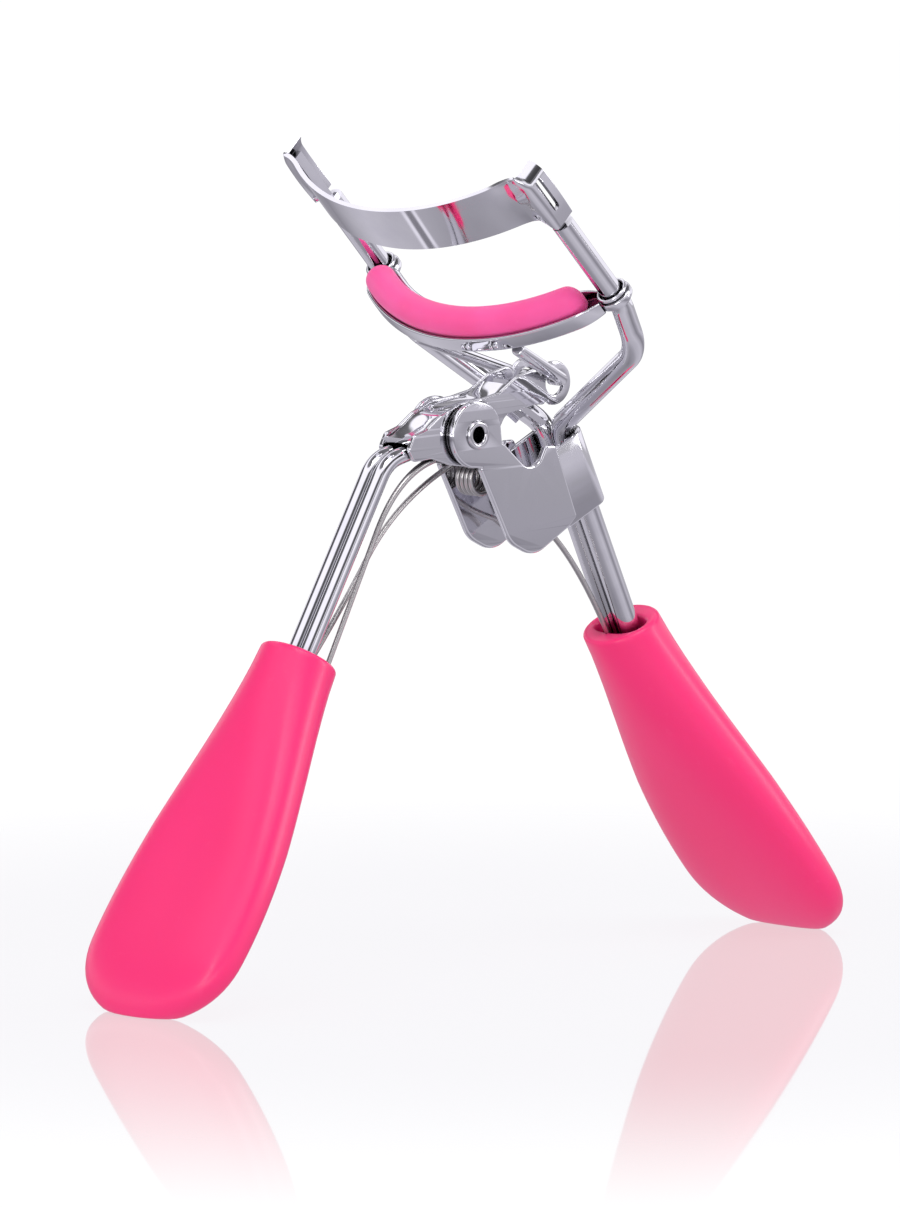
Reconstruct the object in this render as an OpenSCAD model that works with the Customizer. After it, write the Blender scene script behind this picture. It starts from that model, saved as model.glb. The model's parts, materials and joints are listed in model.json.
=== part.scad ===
/* [Stance] */
// Height of the handle pivot above the table
pivot_h = 57.6; // [57.6:0.1:58.2]
// Distance of the handle pivot from the middle of the footprint
pivot_x = -2.18; // [-4:0.1:4]
// Lean of the fixed handle from upright, in degrees
frame_lean = 24.7; // [24:0.1:25.5]
// Lean of the moving handle from upright, in degrees
lever_lean = 30.8; // [30:0.1:31.5]

/* [Frame wire] */
// Diameter of the two frame wires
frame_wire_d = 2.4; // [2.2:0.05:2.5]
// Distance between the two guide posts, centre to centre
post_gap = 35; // [34:0.5:36]
// Lean of the guide posts from upright, in degrees
post_lean = 43; // [42:0.5:44]
// Length of the round part of a guide post above the lower jaw's seat
post_round_l = 11.9; // [11.5:0.1:12.2]

/* [Jaws] */
// Radius of the upper jaw's outer face, seen along the posts
jaw_r = 26.1; // [25.8:0.1:26.4]
// Thickness of the upper jaw's strip
jaw_t = 0.8; // [0.6:0.05:0.9]
// Height of the upper jaw's strip
jaw_h = 5.9; // [5:0.1:6.2]
// Height of the upper jaw's lower edge above the lower jaw's seat
jaw_gap = 14.3; // [14.3:0.1:15]
// Height of the lash pad's crown above the lower jaw's seat
pad_top = 4.15; // [3.9:0.05:4.2]
// Width of the lash pad
pad_w = 3.1; // [2.9:0.05:3.15]

/* [Pivot and bracket] */
// Thickness of the bracket's sheet
sheet_t = 0.75; // [0.6:0.05:0.8]
// Outer width of the bracket across its two cheeks
bracket_w = 7; // [7:0.05:7.2]
// Radius of the bracket's pivot ears
ear_r = 3.7; // [3.5:0.05:3.8]
// Diameter of the tubular rivet's body
rivet_d = 2.3; // [2:0.05:2.4]
// Diameter of the rivet's rolled ends
rivet_flare_d = 3.1; // [3:0.05:3.3]
// Diameter of the hole through the rivet
rivet_bore_d = 1.7; // [1.4:0.05:1.75]

/* [Lever] */
// Diameter of the two lever wires
lever_wire_d = 1.8; // [1.7:0.05:1.85]
// Thickness of the rocker's sheet
rocker_t = 0.55; // [0.5:0.05:0.6]
// Distance from the pivot to the link hole
link_arm = 13.2; // [13:0.05:13.4]
// Angle of the link hole above level, seen from the side, in degrees
link_angle = 19.5; // [19:0.25:20]
// Radius of the link hole
link_hole_r = 1.3; // [1.25:0.05:1.35]
// Diameter of the two link wires
link_wire_d = 1.36; // [1.3:0.02:1.4]

/* [Grips] */
// Length of a grip from its neck to its tip
grip_l = 43.5; // [43:0.5:44]
// Width of a grip at its widest
grip_w = 21; // [19:0.5:22]
// Diameter of a grip's neck
neck_d = 8.6; // [8.4:0.1:9]

/* [Spring] */
// Diameter of the spring wire
spring_d = 0.6; // [0.5:0.05:0.65]
// Mean radius of the spring's coil
coil_r = 1.65; // [1.5:0.05:1.7]
// Number of full turns in the spring's coil
coil_turns = 4; // [3:1:5]

/* [Hidden] */
$fn = 64;
fit = 0.05;
arm_inset = 0.992;
lap = 0.06;
bend_swell = 0.012;

// Directions in the side view, as [x, z] pairs
up_post = [-sin(post_lean), cos(post_lean)];
out_post = [cos(post_lean), sin(post_lean)];
down_frame = [sin(frame_lean), -cos(frame_lean)];
down_lever = [-sin(lever_lean), -cos(lever_lean)];

// Side-view places, measured from the pivot
post_seat = [6.9, 14.97];
sleeve_top = [14.3, -0.4];
lever_bend = [-10.9, -2.2];
lever_wire_end = [-3.4, -0.47];
link_hole = [link_arm * cos(link_angle), link_arm * sin(link_angle)];
hook_offset = 0.54;
link_root_t = 7.6;
link_root_y = 7.6;
coil_at = [3, -5.1];

// Depths and lengths
frame_r = frame_wire_d / 2;
lever_r = lever_wire_d / 2;
link_r = link_wire_d / 2;
frame_y = frame_r + 0.02;
lever_y = lever_r + 0.02;
post_y = post_gap / 2;
arc_centre = 18;
cheek_in = bracket_w / 2 - sheet_t;
rocker_in = lever_y + lever_r + 0.03;
rocker_out = rocker_in + rocker_t;
link_y = rocker_out + 0.12 + link_r;
sleeve_l = 8.7;
wire_in_grip = 15;
frame_grip_at = 24.3;
lever_grip_at = 22.9;

// Small vector helpers
function side(p, y) = [p[0], y, p[1]];
function unit(v) = v / norm(v);

// Where the handle plane meets the post line, seen from the side
function meet(p, d, q, e) = p + d * ((q[0] - p[0]) * e[1] - (q[1] - p[1]) * e[0])
    / (d[0] * e[1] - d[1] * e[0]);
post_foot = meet(sleeve_top, -down_frame, post_seat, up_post);
spread_slope = 0.664;
corner_rise = (post_y - frame_y) * spread_slope;

// Moves the side-view origin to the pivot's real place
module at_pivot() {
    translate([pivot_x, 0, pivot_h]) children();
}

// Turns a flat side-view outline upright, between two depths
module plate(y_low, y_high) {
    translate([0, y_high, 0]) rotate([90, 0, 0]) linear_extrude(y_high - y_low) children();
}

// Flat arm that runs from a round of radius ra to its own round end of radius rb
module arm(a, ra, b, rb) {
    d = norm(b - a);
    turn = atan2(b[1] - a[1], b[0] - a[0]);
    lift = acos((ra - rb) / d);
    near = ra * arm_inset;
    far = rb * arm_inset;
    translate(b) circle(rb);
    polygon([
        a + near * [cos(turn + lift), sin(turn + lift)],
        b + far * [cos(turn + lift), sin(turn + lift)],
        b + far * [cos(turn - lift), sin(turn - lift)],
        a + near * [cos(turn - lift), sin(turn - lift)]
    ]);
}

// Round wire along straight runs, with a true bend of its own radius at each inner point
module wire(points, bends, r) {
    last = len(points) - 1;
    dirs = [for (i = [0:last - 1]) unit(points[i + 1] - points[i])];
    cuts = [for (i = [0:last]) i == 0 || i == last ? 0
        : bends[i - 1] * tan(acos(dirs[i - 1] * dirs[i]) / 2)];
    for (i = [0:last - 1]) {
        low = i == 0 ? 0 : cuts[i] - lap;
        high = i == last - 1 ? 0 : cuts[i + 1] - lap;
        aim(points[i] + low * dirs[i], dirs[i])
            cylinder(h = norm(points[i + 1] - points[i]) - low - high, r = r);
    }
    for (i = [1:last - 1]) bend(points[i], dirs[i - 1], dirs[i], bends[i - 1], r + bend_swell);
}

// Puts Z along a direction, at a place
module aim(place, dir) {
    translate(place) rotate([0, acos(dir[2]), atan2(dir[1], dir[0])]) children();
}

// Bend of a wire at one corner, from the direction before to the direction after
module bend(corner, before, after, bend_r, r) {
    turn = acos(before * after);
    inward = unit(after - (after * before) * before);
    normal = cross(before, inward);
    start = corner - bend_r * tan(turn / 2) * before;
    multmatrix([
        [-inward[0], before[0], normal[0], start[0] + bend_r * inward[0]],
        [-inward[1], before[1], normal[1], start[1] + bend_r * inward[1]],
        [-inward[2], before[2], normal[2], start[2] + bend_r * inward[2]],
        [0, 0, 0, 1]
    ]) rotate_extrude(angle = turn) translate([bend_r, 0]) circle(r);
}

// Wire swept along many points as one smooth tube with few sides
module thin_wire(path, r) {
    sides = 8;
    n = len(path);
    tangents = [for (i = [0:n - 1]) unit(path[min(i + 1, n - 1)] - path[max(i - 1, 0)])];
    rings = [for (i = [0:n - 1])
        let (t = tangents[i], a = unit(cross(t, [0.17, 1, 0.13])), b = cross(t, a))
        for (k = [0:sides - 1]) path[i] + r * (a * cos(k * 360 / sides) + b * sin(k * 360 / sides))];
    walls = [for (i = [0:n - 2], k = [0:sides - 1])
        let (k2 = (k + 1) % sides)
        each [[i * sides + k, i * sides + k2, (i + 1) * sides + k2],
              [i * sides + k, (i + 1) * sides + k2, (i + 1) * sides + k]]];
    start = [for (k = [sides - 1:-1:0]) k];
    end = [for (k = [0:sides - 1]) (n - 1) * sides + k];
    polyhedron(points = rings, faces = concat([start], walls, [end]));
}

// Smooth curve through three guide points, as a list of points
function bezier(a, b, c, steps) = [for (i = [0:steps]) let (t = i / steps)
    (1 - t) * (1 - t) * a + 2 * t * (1 - t) * b + t * t * c];

// Local frame of the jaws: Z along the posts, X across them towards the fixed handle
module at_jaws() {
    at_pivot() translate(side(post_seat, 0)) rotate([0, -post_lean, 0]) children();
}

// Ring sector about the jaws' common centre, spanning y = -reach to reach at radius r_out
module jaw_sector(r_in, r_out, z_low, z_high, reach) {
    half = asin(reach / r_out);
    translate([arc_centre, 0, z_low]) rotate([0, 0, 180 - half])
        rotate_extrude(angle = 2 * half) translate([r_in, 0]) square([r_out - r_in, z_high - z_low]);
}

// ---- Frame ----

// One frame wire: handle run, sleeve, outward loop, guide post and flat staking tongue
module frame_wire(sign) {
    corner = sleeve_top - corner_rise * down_frame;
    top = post_seat + post_round_l * up_post;
    at_pivot() wire([
        side(sleeve_top + (frame_grip_at + wire_in_grip) * down_frame, sign * frame_y),
        side(sleeve_top, sign * frame_y),
        side(corner, sign * post_y),
        side(post_foot, sign * post_y),
        side(top, sign * post_y)
    ], [2.6, 4.2, 3.2], frame_r);
    at_jaws() translate([-1.05, sign * post_y - 0.5, post_round_l - 0.5]) cube([1.15, 1, 7.9]);
}

module frame_wire_near() {
    color("silver") frame_wire(-1);
}

module frame_wire_far() {
    color("silver") frame_wire(1);
}

// Upper jaw: curved strip with a staked box at each end
module upper_jaw() {
    color("gainsboro") at_jaws() {
        jaw_sector(jaw_r - jaw_t, jaw_r, jaw_gap, jaw_gap + jaw_h, post_y - 0.4);
        for (sign = [-1, 1]) translate([0, sign * post_y, 0]) jaw_box(sign);
    }
}

// Box at one end of the upper jaw: pocket for the tongue, and a slot through both walls
module jaw_box(sign) {
    low = 12.4;
    high = 20.5;
    difference() {
        translate([-1.7, -1.1, low]) cube([2.95, 2.2, high - low - 1.1]);
        translate([-1.15, -0.55, low - 1]) cube([1.3, 1.1, 8.2]);
        translate([0.3, -3, low + 1.3]) cube([0.6, 6, 5.2]);
    }
    difference() {
        translate([-1.7, 0, high - 1.1]) rotate([0, 90, 0]) cylinder(h = 2.95, r = 1.1);
        translate([-3, -2, high - 3.1]) cube([6, 4, 2]);
    }
}

// Bracket: one bent sheet with two pivot cheeks and a sleeve round the frame wires
module bracket() {
    color("silver") at_pivot() difference() {
        union() {
            for (sign = [-1, 1]) {
                low = sign < 0 ? -bracket_w / 2 : cheek_in;
                plate(low, low + sheet_t) cheek_outline();
            }
            sleeve();
        }
        translate([0, 5, 0]) rotate([90, 0, 0]) cylinder(h = 10, r = rivet_d / 2 + fit);
    }
}

// Side-view outline of one bracket cheek
module cheek_outline() {
    difference() {
        union() {
            circle(ear_r);
            arm([0, 0], ear_r, [8.3, -9.5], 3.6);
            polygon([[2.4, -1], [11.2, -2.1], [14.4, -9.6], [13.6, -10.6], [8.3, -13.1], [6, -8]]);
        }
        translate([8.3, -0.2]) circle(3.6);
    }
}

// Sleeve: the sheet's closed end, folded round the pair of wires
module sleeve() {
    outer_r = frame_r + fit + sheet_t;
    inner_r = frame_r + fit;
    neck = 4.3;
    translate(side(sleeve_top, 0)) rotate([0, 180 - frame_lean, 0]) translate([0, 0, 0.9])
        linear_extrude(sleeve_l) difference() {
            union() {
                for (sign = [-1, 1]) translate([0, sign * frame_y]) circle(outer_r);
                translate([-outer_r, -frame_y]) square([outer_r, 2 * frame_y]);
                translate([0, -frame_y - outer_r]) square([neck, 2 * (frame_y + outer_r)]);
            }
            for (sign = [-1, 1]) translate([0, sign * frame_y]) circle(inner_r);
            translate([-inner_r, -frame_y]) square([inner_r, 2 * frame_y]);
            translate([0, -frame_y - inner_r]) square([neck + 1, 2 * (frame_y + inner_r)]);
        }
}

// Tubular rivet with two rolled ends
module pivot_rivet() {
    half = bracket_w / 2;
    color("gainsboro") at_pivot() rotate([90, 0, 0]) rotate_extrude() difference() {
        union() {
            translate([rivet_bore_d / 2, -half - 0.3])
                square([(rivet_d - rivet_bore_d) / 2, 2 * half + 0.6]);
            for (sign = [-1, 1]) translate([0, sign * (half + 0.2)]) rolled_end();
        }
        translate([-1, -half - 1]) square([1 + rivet_bore_d / 2, 2 * half + 2]);
    }
}

// Section of one rolled rivet end, as a bar with a round rim
module rolled_end() {
    rim = 0.18;
    translate([0.5, -rim]) square([rivet_flare_d / 2 - rim - 0.5, 2 * rim]);
    translate([rivet_flare_d / 2 - rim, 0]) circle(rim);
}

// Two thin washers between the rocker and the bracket's cheeks
module washers() {
    gap = cheek_in - rocker_out;
    color("lightgray") at_pivot() for (sign = [-1, 1])
        translate([0, sign * (cheek_in + rocker_out) / 2, 0]) rotate([90, 0, 0]) difference() {
            cylinder(h = gap - 0.06, r = 3.3, center = true);
            cylinder(h = 2, r = rivet_d / 2 + fit, center = true);
        }
}

// ---- Grips ----

// Half-width of a grip at a fraction t of its length
function grip_half_w(t) = let (neck = neck_d / 2, full = grip_w / 2,
    grow = neck + (full - neck) * pow(sin(90 * min(t / 0.8, 1)), 1.35))
    t < 0.8 ? grow : full * pow(max(1 - pow((t - 0.8) / 0.2, 2.2), 0), 0.5);

// Half-thickness of a grip at a fraction t of its length
function grip_half_t(t) = (neck_d / 2 - 0.1 - 1.15 * t) * pow(max(1 - pow(t, 9), 0), 0.5);

// Lofted handle grip: Z runs down the handle, X outwards, and the tip sweeps outwards
module grip_body(sweep, curl) {
    rings = 20;
    sides = 28;
    steps = [for (i = [0:rings]) i < 2 ? i * 0.012 : 1 - pow(1 - (i - 1) / (rings - 1), 1.5)];
    points = [for (i = [0:rings]) let (t = min(steps[i], 0.9985), z = t * grip_l,
            w = grip_half_w(t) - (i == 0 ? 0.5 : 0), h = grip_half_t(t) - (i == 0 ? 0.5 : 0),
            mid = sweep * z + curl * z * z)
        for (k = [0:sides - 1]) let (c = cos(k * 360 / sides), s = sin(k * 360 / sides))
            [mid + h * sign(c) * pow(abs(c), 0.85), w * sign(s) * pow(abs(s), 0.85), z]];
    walls = [for (i = [0:rings - 1], k = [0:sides - 1])
        let (k2 = (k + 1) % sides)
        each [[i * sides + k, (i + 1) * sides + k2, i * sides + k2],
              [i * sides + k, (i + 1) * sides + k, (i + 1) * sides + k2]]];
    start = [for (k = [0:sides - 1]) k];
    end = [for (k = [sides - 1:-1:0]) rings * sides + k];
    polyhedron(points = points, faces = concat([start], walls, [end]));
}

// Grip on the fixed handle, with its mouth and two wire bores
module frame_grip() {
    neck_at = sleeve_top + frame_grip_at * down_frame;
    color("hotpink") difference() {
        at_pivot() translate(side(neck_at, 0)) rotate([0, 180 - frame_lean, 0])
            mirror([1, 0, 0]) difference() {
                grip_body(0.16, 0.0013);
                grip_bores(frame_y, frame_r);
            }
        table();
    }
}

// Grip on the moving handle
module lever_grip() {
    neck_at = lever_bend + lever_grip_at * down_lever;
    color("hotpink") difference() {
        at_pivot() translate(side(neck_at, 0)) rotate([0, 180 + lever_lean, 0]) difference() {
            grip_body(0, 0.0012);
            grip_bores(lever_y, lever_r);
        }
        table();
    }
}

// Shallow mouth and the two bores that hold the wires
module grip_bores(y, r) {
    mouth_r = 1.9;
    for (sign = [-1, 1]) {
        translate([0, sign * y, -1]) cylinder(h = wire_in_grip + 1.2, r = r + 0.04);
        translate([0, sign * y, -1]) cylinder(h = 4, r = mouth_r);
    }
    translate([-mouth_r, -y, -1]) cube([2 * mouth_r, 2 * y, 4]);
    translate([-leg_inset, 0, -1]) cylinder(h = 4.5, r = 0.75);
}

// Everything below the table top
module table() {
    translate([-100, -50, -20]) cube([200, 100, 20]);
}

// ---- Spring ----

leg_inset = 2.45;

// Place of a spring leg at a depth inside a grip's mouth, on the side that faces the other handle
function leg_entry(neck, down, outward, depth) = side(neck + depth * down - leg_inset * outward, 0);

// Coil between the cheeks, with its long leg into the fixed grip
module spring_coil() {
    turns = coil_turns + 0.25;
    pitch = 1.08 * spring_d;
    width = turns * pitch;
    coil = [for (a = [0:15:360 * turns])
        [coil_at[0] + coil_r * sin(a), width / 2 - pitch * a / 360, coil_at[1] + coil_r * cos(a)]];
    out = coil[len(coil) - 1];
    neck = sleeve_top + frame_grip_at * down_frame;
    outward = [-down_frame[1], down_frame[0]];
    leg = bezier(out + [0.05, 0, -0.9], [15.5, -width / 2, -12.2],
        leg_entry(neck, down_frame, outward, 1.1), 12);
    color("gray") at_pivot()
        thin_wire(concat(coil, leg, [leg_entry(neck, down_frame, outward, 2.5)]), spring_d / 2);
}

// Long leg from the coil's top into the moving grip
module spring_lever_leg() {
    start = [-2.9, 1.3, -4.1];
    neck = lever_bend + lever_grip_at * down_lever;
    outward = [down_lever[1], -down_lever[0]];
    leg = concat(bezier(start, [-8, 0.9, -7.6], [-13, 0.3, -13], 8),
        bezier([-13.6, 0.25, -13.9], [-16.6, 0, -18], leg_entry(neck, down_lever, outward, 1.1), 6),
        [leg_entry(neck, down_lever, outward, 2.5)]);
    color("gray") at_pivot() thin_wire(leg, spring_d / 2);
}

// Return strand beside the moving handle, hooked under the rocker
module spring_anchor_leg() {
    leg = concat(bezier([-4.6, -1.1, -2.65], [-9.6, -1.3, -3.6], [-12.6, -1, -9.9], 8),
        bezier([-12.9, -1, -10.7], [-15.2, -0.9, -15], [-19.4, -0.9, -22.9], 6));
    color("gray") at_pivot() thin_wire(leg, spring_d / 2);
}

// ---- Lever ----

rocker_tail = [-6.8, -1.3];
rocker_knee = [7.2, 3.9];
rocker_r = 3.5;
tail_r = 1.75;
knee_r = 1.6;
link_ear_r = 2.35;

// Rocker: folded sheet lever that joins the moving handle to the link wires
module rocker() {
    web_half = rocker_in + 0.12;
    color("silver") at_pivot() difference() {
        union() {
            for (sign = [-1, 1]) {
                low = sign < 0 ? -rocker_out : rocker_in;
                plate(low, low + rocker_t) rocker_side();
            }
            plate(-web_half, web_half) back_web();
            plate(-web_half, web_half) saddle();
        }
        translate([0, 5, 0]) rotate([90, 0, 0]) cylinder(h = 10, r = rivet_d / 2 + fit);
        translate(side(link_hole, 5)) rotate([90, 0, 0]) cylinder(h = 10, r = link_hole_r);
    }
}

// Side-view outline of one of the rocker's two sides
module rocker_side() {
    circle(rocker_r);
    arm([0, 0], rocker_r, rocker_tail, tail_r);
    arm([0, 0], rocker_r, rocker_knee, knee_r);
    arm(rocker_knee, knee_r, link_hole, link_ear_r);
}

// Side-view outline of the sheet that closes the rocker's back
module back_web() {
    polygon([
        [-7.9, 0.05], [-3.4, 2.05], [-1.2, 3.05], [1.4, 3.28], [4.6, 4.5], [4.9, 4.05],
        [1.6, 2.75], [-1.1, 2.5], [-3.2, 1.5], [-7.7, -0.45]
    ]);
}

// Side-view outline of the short bridge under the ear
module saddle() {
    polygon([[7.6, 3], [11.7, 1.15], [11.95, 1.7], [7.85, 3.5]]);
}

// One lever wire, bent from the rocker down into the grip
module lever_wire(sign) {
    low = lever_bend + (lever_grip_at + wire_in_grip) * down_lever;
    color("silver") at_pivot() wire([
        side(lever_wire_end, sign * lever_y),
        side(lever_bend, sign * lever_y),
        side(low, sign * lever_y)
    ], [4], lever_r);
}

module lever_wire_near() {
    lever_wire(-1);
}

module lever_wire_far() {
    lever_wire(1);
}

// ---- Lower jaw ----

channel_in = 23.3;
channel_out = 27.5;
channel_wall = 0.5;
channel_h = 2;
channel_reach = 16.4;

// Lower jaw: curved channel that holds the pad, with a round lug for an eyelet at each end
module lower_jaw() {
    half = asin(channel_reach / channel_out);
    floor_h = 0.7;
    color("gainsboro") at_jaws() difference() {
        union() {
            translate([arc_centre, 0, 0]) rotate([0, 0, 180 - half]) rotate_extrude(angle = 2 * half)
                polygon([
                    [channel_in, 0], [channel_out, 0], [channel_out, channel_h],
                    [channel_out - channel_wall, channel_h], [channel_out - channel_wall, floor_h],
                    [channel_in + channel_wall, floor_h], [channel_in + channel_wall, channel_h],
                    [channel_in, channel_h]
                ]);
            for (sign = [-1, 1]) translate([0, 0, 0.05]) linear_extrude(floor_h - 0.1) {
                translate([0, sign * post_y]) circle(2.3);
                arm([0, sign * post_y], 2.3, [-3, sign * 15.4], 1.5);
            }
        }
        for (sign = [-1, 1]) translate([0, sign * post_y, -1]) cylinder(h = 4, r = frame_r + 0.45);
    }
}

// Eyelet that guides the lower jaw on one post
module eyelet(sign) {
    color("gainsboro") at_jaws() translate([0, sign * post_y, 0]) difference() {
        union() {
            translate([0, 0, -0.25]) cylinder(h = 2.2, r = frame_r + 0.42);
            translate([0, 0, 0.68]) cylinder(h = 0.5, r = frame_r + 0.9);
        }
        translate([0, 0, -2]) cylinder(h = 8, r = frame_r + 0.07);
    }
}

module eyelet_near() {
    eyelet(-1);
}

module eyelet_far() {
    eyelet(1);
}

// Lash pad: soft curved strip seated in the lower jaw's channel
module lash_pad() {
    pad_mid = (channel_in + channel_out) / 2;
    crown_r = pad_w / 2 + 0.05;
    half = asin(15.2 / pad_mid);
    color("deeppink") at_jaws() translate([arc_centre, 0, 0]) rotate([0, 0, 180 - half])
        rotate_extrude(angle = 2 * half) {
            translate([pad_mid - pad_w / 2, 0.74]) square([pad_w, 1.5]);
            translate([pad_mid, pad_top - crown_r]) circle(crown_r);
        }
}

// One link wire, welded under the lower jaw and hooked through the rocker's ear
module link_wire(sign) {
    root = post_seat - 1.02 * link_r * up_post - link_root_t * out_post;
    hook = link_hole + hook_offset * out_post;
    color("silver") at_pivot() wire([
        side(root, sign * link_root_y),
        side(hook, sign * link_y),
        side(hook, sign * (rocker_in - 0.6))
    ], [0.9], link_r);
}

module link_wire_near() {
    link_wire(-1);
}

module link_wire_far() {
    link_wire(1);
}

frame_wire_near();
frame_wire_far();
upper_jaw();
bracket();
pivot_rivet();
washers();
frame_grip();
spring_coil();
spring_lever_leg();
spring_anchor_leg();
rocker();
lever_wire_near();
lever_wire_far();
lever_grip();
lower_jaw();
eyelet_near();
eyelet_far();
lash_pad();
link_wire_near();
link_wire_far();
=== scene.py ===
import bpy
import bmesh
import json
import math
from mathutils import Matrix, Vector


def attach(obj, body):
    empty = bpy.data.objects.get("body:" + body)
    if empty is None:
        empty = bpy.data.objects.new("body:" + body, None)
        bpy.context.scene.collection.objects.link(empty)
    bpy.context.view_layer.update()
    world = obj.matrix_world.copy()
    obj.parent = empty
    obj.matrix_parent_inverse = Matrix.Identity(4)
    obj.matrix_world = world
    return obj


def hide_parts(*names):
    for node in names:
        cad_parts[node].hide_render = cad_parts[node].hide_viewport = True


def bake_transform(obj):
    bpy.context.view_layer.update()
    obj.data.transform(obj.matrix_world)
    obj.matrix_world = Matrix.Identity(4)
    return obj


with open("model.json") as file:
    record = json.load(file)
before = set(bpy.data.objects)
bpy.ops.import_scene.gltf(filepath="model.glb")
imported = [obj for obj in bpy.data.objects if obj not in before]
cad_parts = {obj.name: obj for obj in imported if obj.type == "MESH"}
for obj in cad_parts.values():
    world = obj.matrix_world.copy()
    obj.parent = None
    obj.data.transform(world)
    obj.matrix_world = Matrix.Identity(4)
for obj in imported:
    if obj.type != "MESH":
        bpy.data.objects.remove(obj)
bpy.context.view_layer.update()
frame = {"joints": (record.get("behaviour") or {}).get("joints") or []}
mm = 0.001

leverJoint = next(j for j in frame["joints"] if j["type"] == "hinge")
slideJoint = next(j for j in frame["joints"] if j["type"] == "slide")
pivot = Vector(leverJoint["pos_m"])
postUp = Vector(slideJoint["axis"])
postOut = Vector((postUp.z, 0, -postUp.x))
acrossJaws = Vector((0, 1, 0))

# the side view's main places, in mm from the pivot, as the metal parts have them
layout = dict(seat=(6.9, 14.97), sleeveTop=(14.3, -0.4), leverBend=(-10.9, -2.2),
              frameLean=24.7, leverLean=30.8, postY=17.5, frameGripAt=24.3, leverGripAt=22.9,
              linkHole=(12.443, 4.406), hookOffset=0.54)


def sidePoint(x, z, y=0.0):
    return pivot + Vector((x, y, z)) * mm


jawSeat = sidePoint(*layout["seat"])


def jawPoint(x, y, s):
    return jawSeat + (postOut * x + acrossJaws * y + postUp * s) * mm


def lean(degrees, sign):
    a = math.radians(degrees)
    return Vector((sign * math.sin(a), 0, -math.cos(a)))


frameDown = lean(layout["frameLean"], 1)
leverDown = lean(layout["leverLean"], -1)


# mesh helpers
def newPiece(name, verts, faces, mat, sharpAngle=38):
    mesh = bpy.data.meshes.new(name)
    mesh.from_pydata([tuple(v) for v in verts], [], faces)
    bm = bmesh.new()
    bm.from_mesh(mesh)
    bmesh.ops.remove_doubles(bm, verts=bm.verts, dist=1e-7)
    bmesh.ops.recalc_face_normals(bm, faces=bm.faces)
    bm.to_mesh(mesh)
    bm.free()
    mesh.shade_smooth()
    mesh.set_sharp_from_angle(angle=math.radians(sharpAngle))
    mesh.materials.append(mat)
    piece = bpy.data.objects.new(name, mesh)
    bpy.context.scene.collection.objects.link(piece)
    return piece


def settle(piece, sharpAngle=None):
    # bakes the modifiers into the mesh, so the piece is plain geometry
    depsgraph = bpy.context.evaluated_depsgraph_get()
    mesh = bpy.data.meshes.new_from_object(piece.evaluated_get(depsgraph))
    piece.modifiers.clear()
    piece.data = mesh
    mesh.shade_smooth()
    if sharpAngle is not None:
        mesh.set_sharp_from_angle(angle=math.radians(sharpAngle))
    return piece


def tangentsOf(path):
    last = len(path) - 1
    return [(path[min(i + 1, last)] - path[max(i - 1, 0)]).normalized() for i in range(last + 1)]


def crossFrames(path, hint):
    # a pair of cross directions at each point, carried along without twist
    tangents = tangentsOf(path)
    side = (hint - tangents[0] * hint.dot(tangents[0])).normalized()
    frames = []
    for t in tangents:
        side = (side - t * side.dot(t)).normalized()
        frames.append((side.copy(), t.cross(side)))
    return frames


def bentPath(corners, bends, step=0.3 * mm):
    # straight runs joined by true arcs of the given radii
    path = []
    dirs = [(corners[i + 1] - corners[i]).normalized() for i in range(len(corners) - 1)]
    cuts = [0.0]
    for i in range(1, len(corners) - 1):
        cuts.append(bends[i - 1] * math.tan(dirs[i - 1].angle(dirs[i]) / 2))
    cuts.append(0.0)
    for i, d in enumerate(dirs):
        a = corners[i] + d * cuts[i]
        b = corners[i + 1] - d * cuts[i + 1]
        runs = max(2, int((b - a).length / (step * 4)))
        path += [a.lerp(b, k / runs) for k in range(runs + (1 if i == len(dirs) - 1 else 0))]
        if i < len(dirs) - 1:
            turn = d.angle(dirs[i + 1])
            inward = (dirs[i + 1] - d * d.dot(dirs[i + 1])).normalized()
            r = bends[i]
            centre = b + inward * r
            arcs = max(6, int(turn * r / step))
            for k in range(arcs):
                a1 = turn * k / arcs
                path.append(centre - inward * r * math.cos(a1) + d * r * math.sin(a1))
    return path


def wireSection(r, sides=28):
    angles = [2 * math.pi * k / sides for k in range(sides)]
    return [(r * math.cos(a), r * math.sin(a)) for a in angles]


def sweep(path, hint, sections):
    # rings of one section per path point, closed by two caps
    frames = crossFrames(path, hint)
    verts, faces = [], []
    n = len(sections[0])
    for centre, (a, b), section in zip(path, frames, sections):
        verts += [centre + a * u + b * v for u, v in section]
    for i in range(len(path) - 1):
        for k in range(n):
            k2 = (k + 1) % n
            faces.append((i * n + k, i * n + k2, (i + 1) * n + k2, (i + 1) * n + k))
    faces.append(tuple(range(n))[::-1])
    faces.append(tuple((len(path) - 1) * n + k for k in range(n)))
    return verts, faces


def roundWire(name, path, r, mat, hint=Vector((0.2, 1, 0.1)), sides=28, tipRound=0.3):
    # a drawn wire with softly rounded cut ends
    tangents = tangentsOf(path)
    soft = r * tipRound
    angles = [math.pi / 2 * k / 4 for k in range(4)]
    tip = [(soft * (1 - math.cos(a)), r - soft + soft * math.sin(a)) for a in angles]
    start = [(path[0] + tangents[0] * back, q) for back, q in tip]
    end = [(path[-1] - tangents[-1] * back, q) for back, q in tip[::-1]]
    clear = soft * 1.2
    inner = [(p, r) for p in path if (p - path[0]).length > clear and (p - path[-1]).length > clear]
    rings = start + inner + end
    sections = [wireSection(q, sides) for _, q in rings]
    verts, faces = sweep([p for p, _ in rings], hint, sections)
    return newPiece(name, verts, faces, mat)


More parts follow.
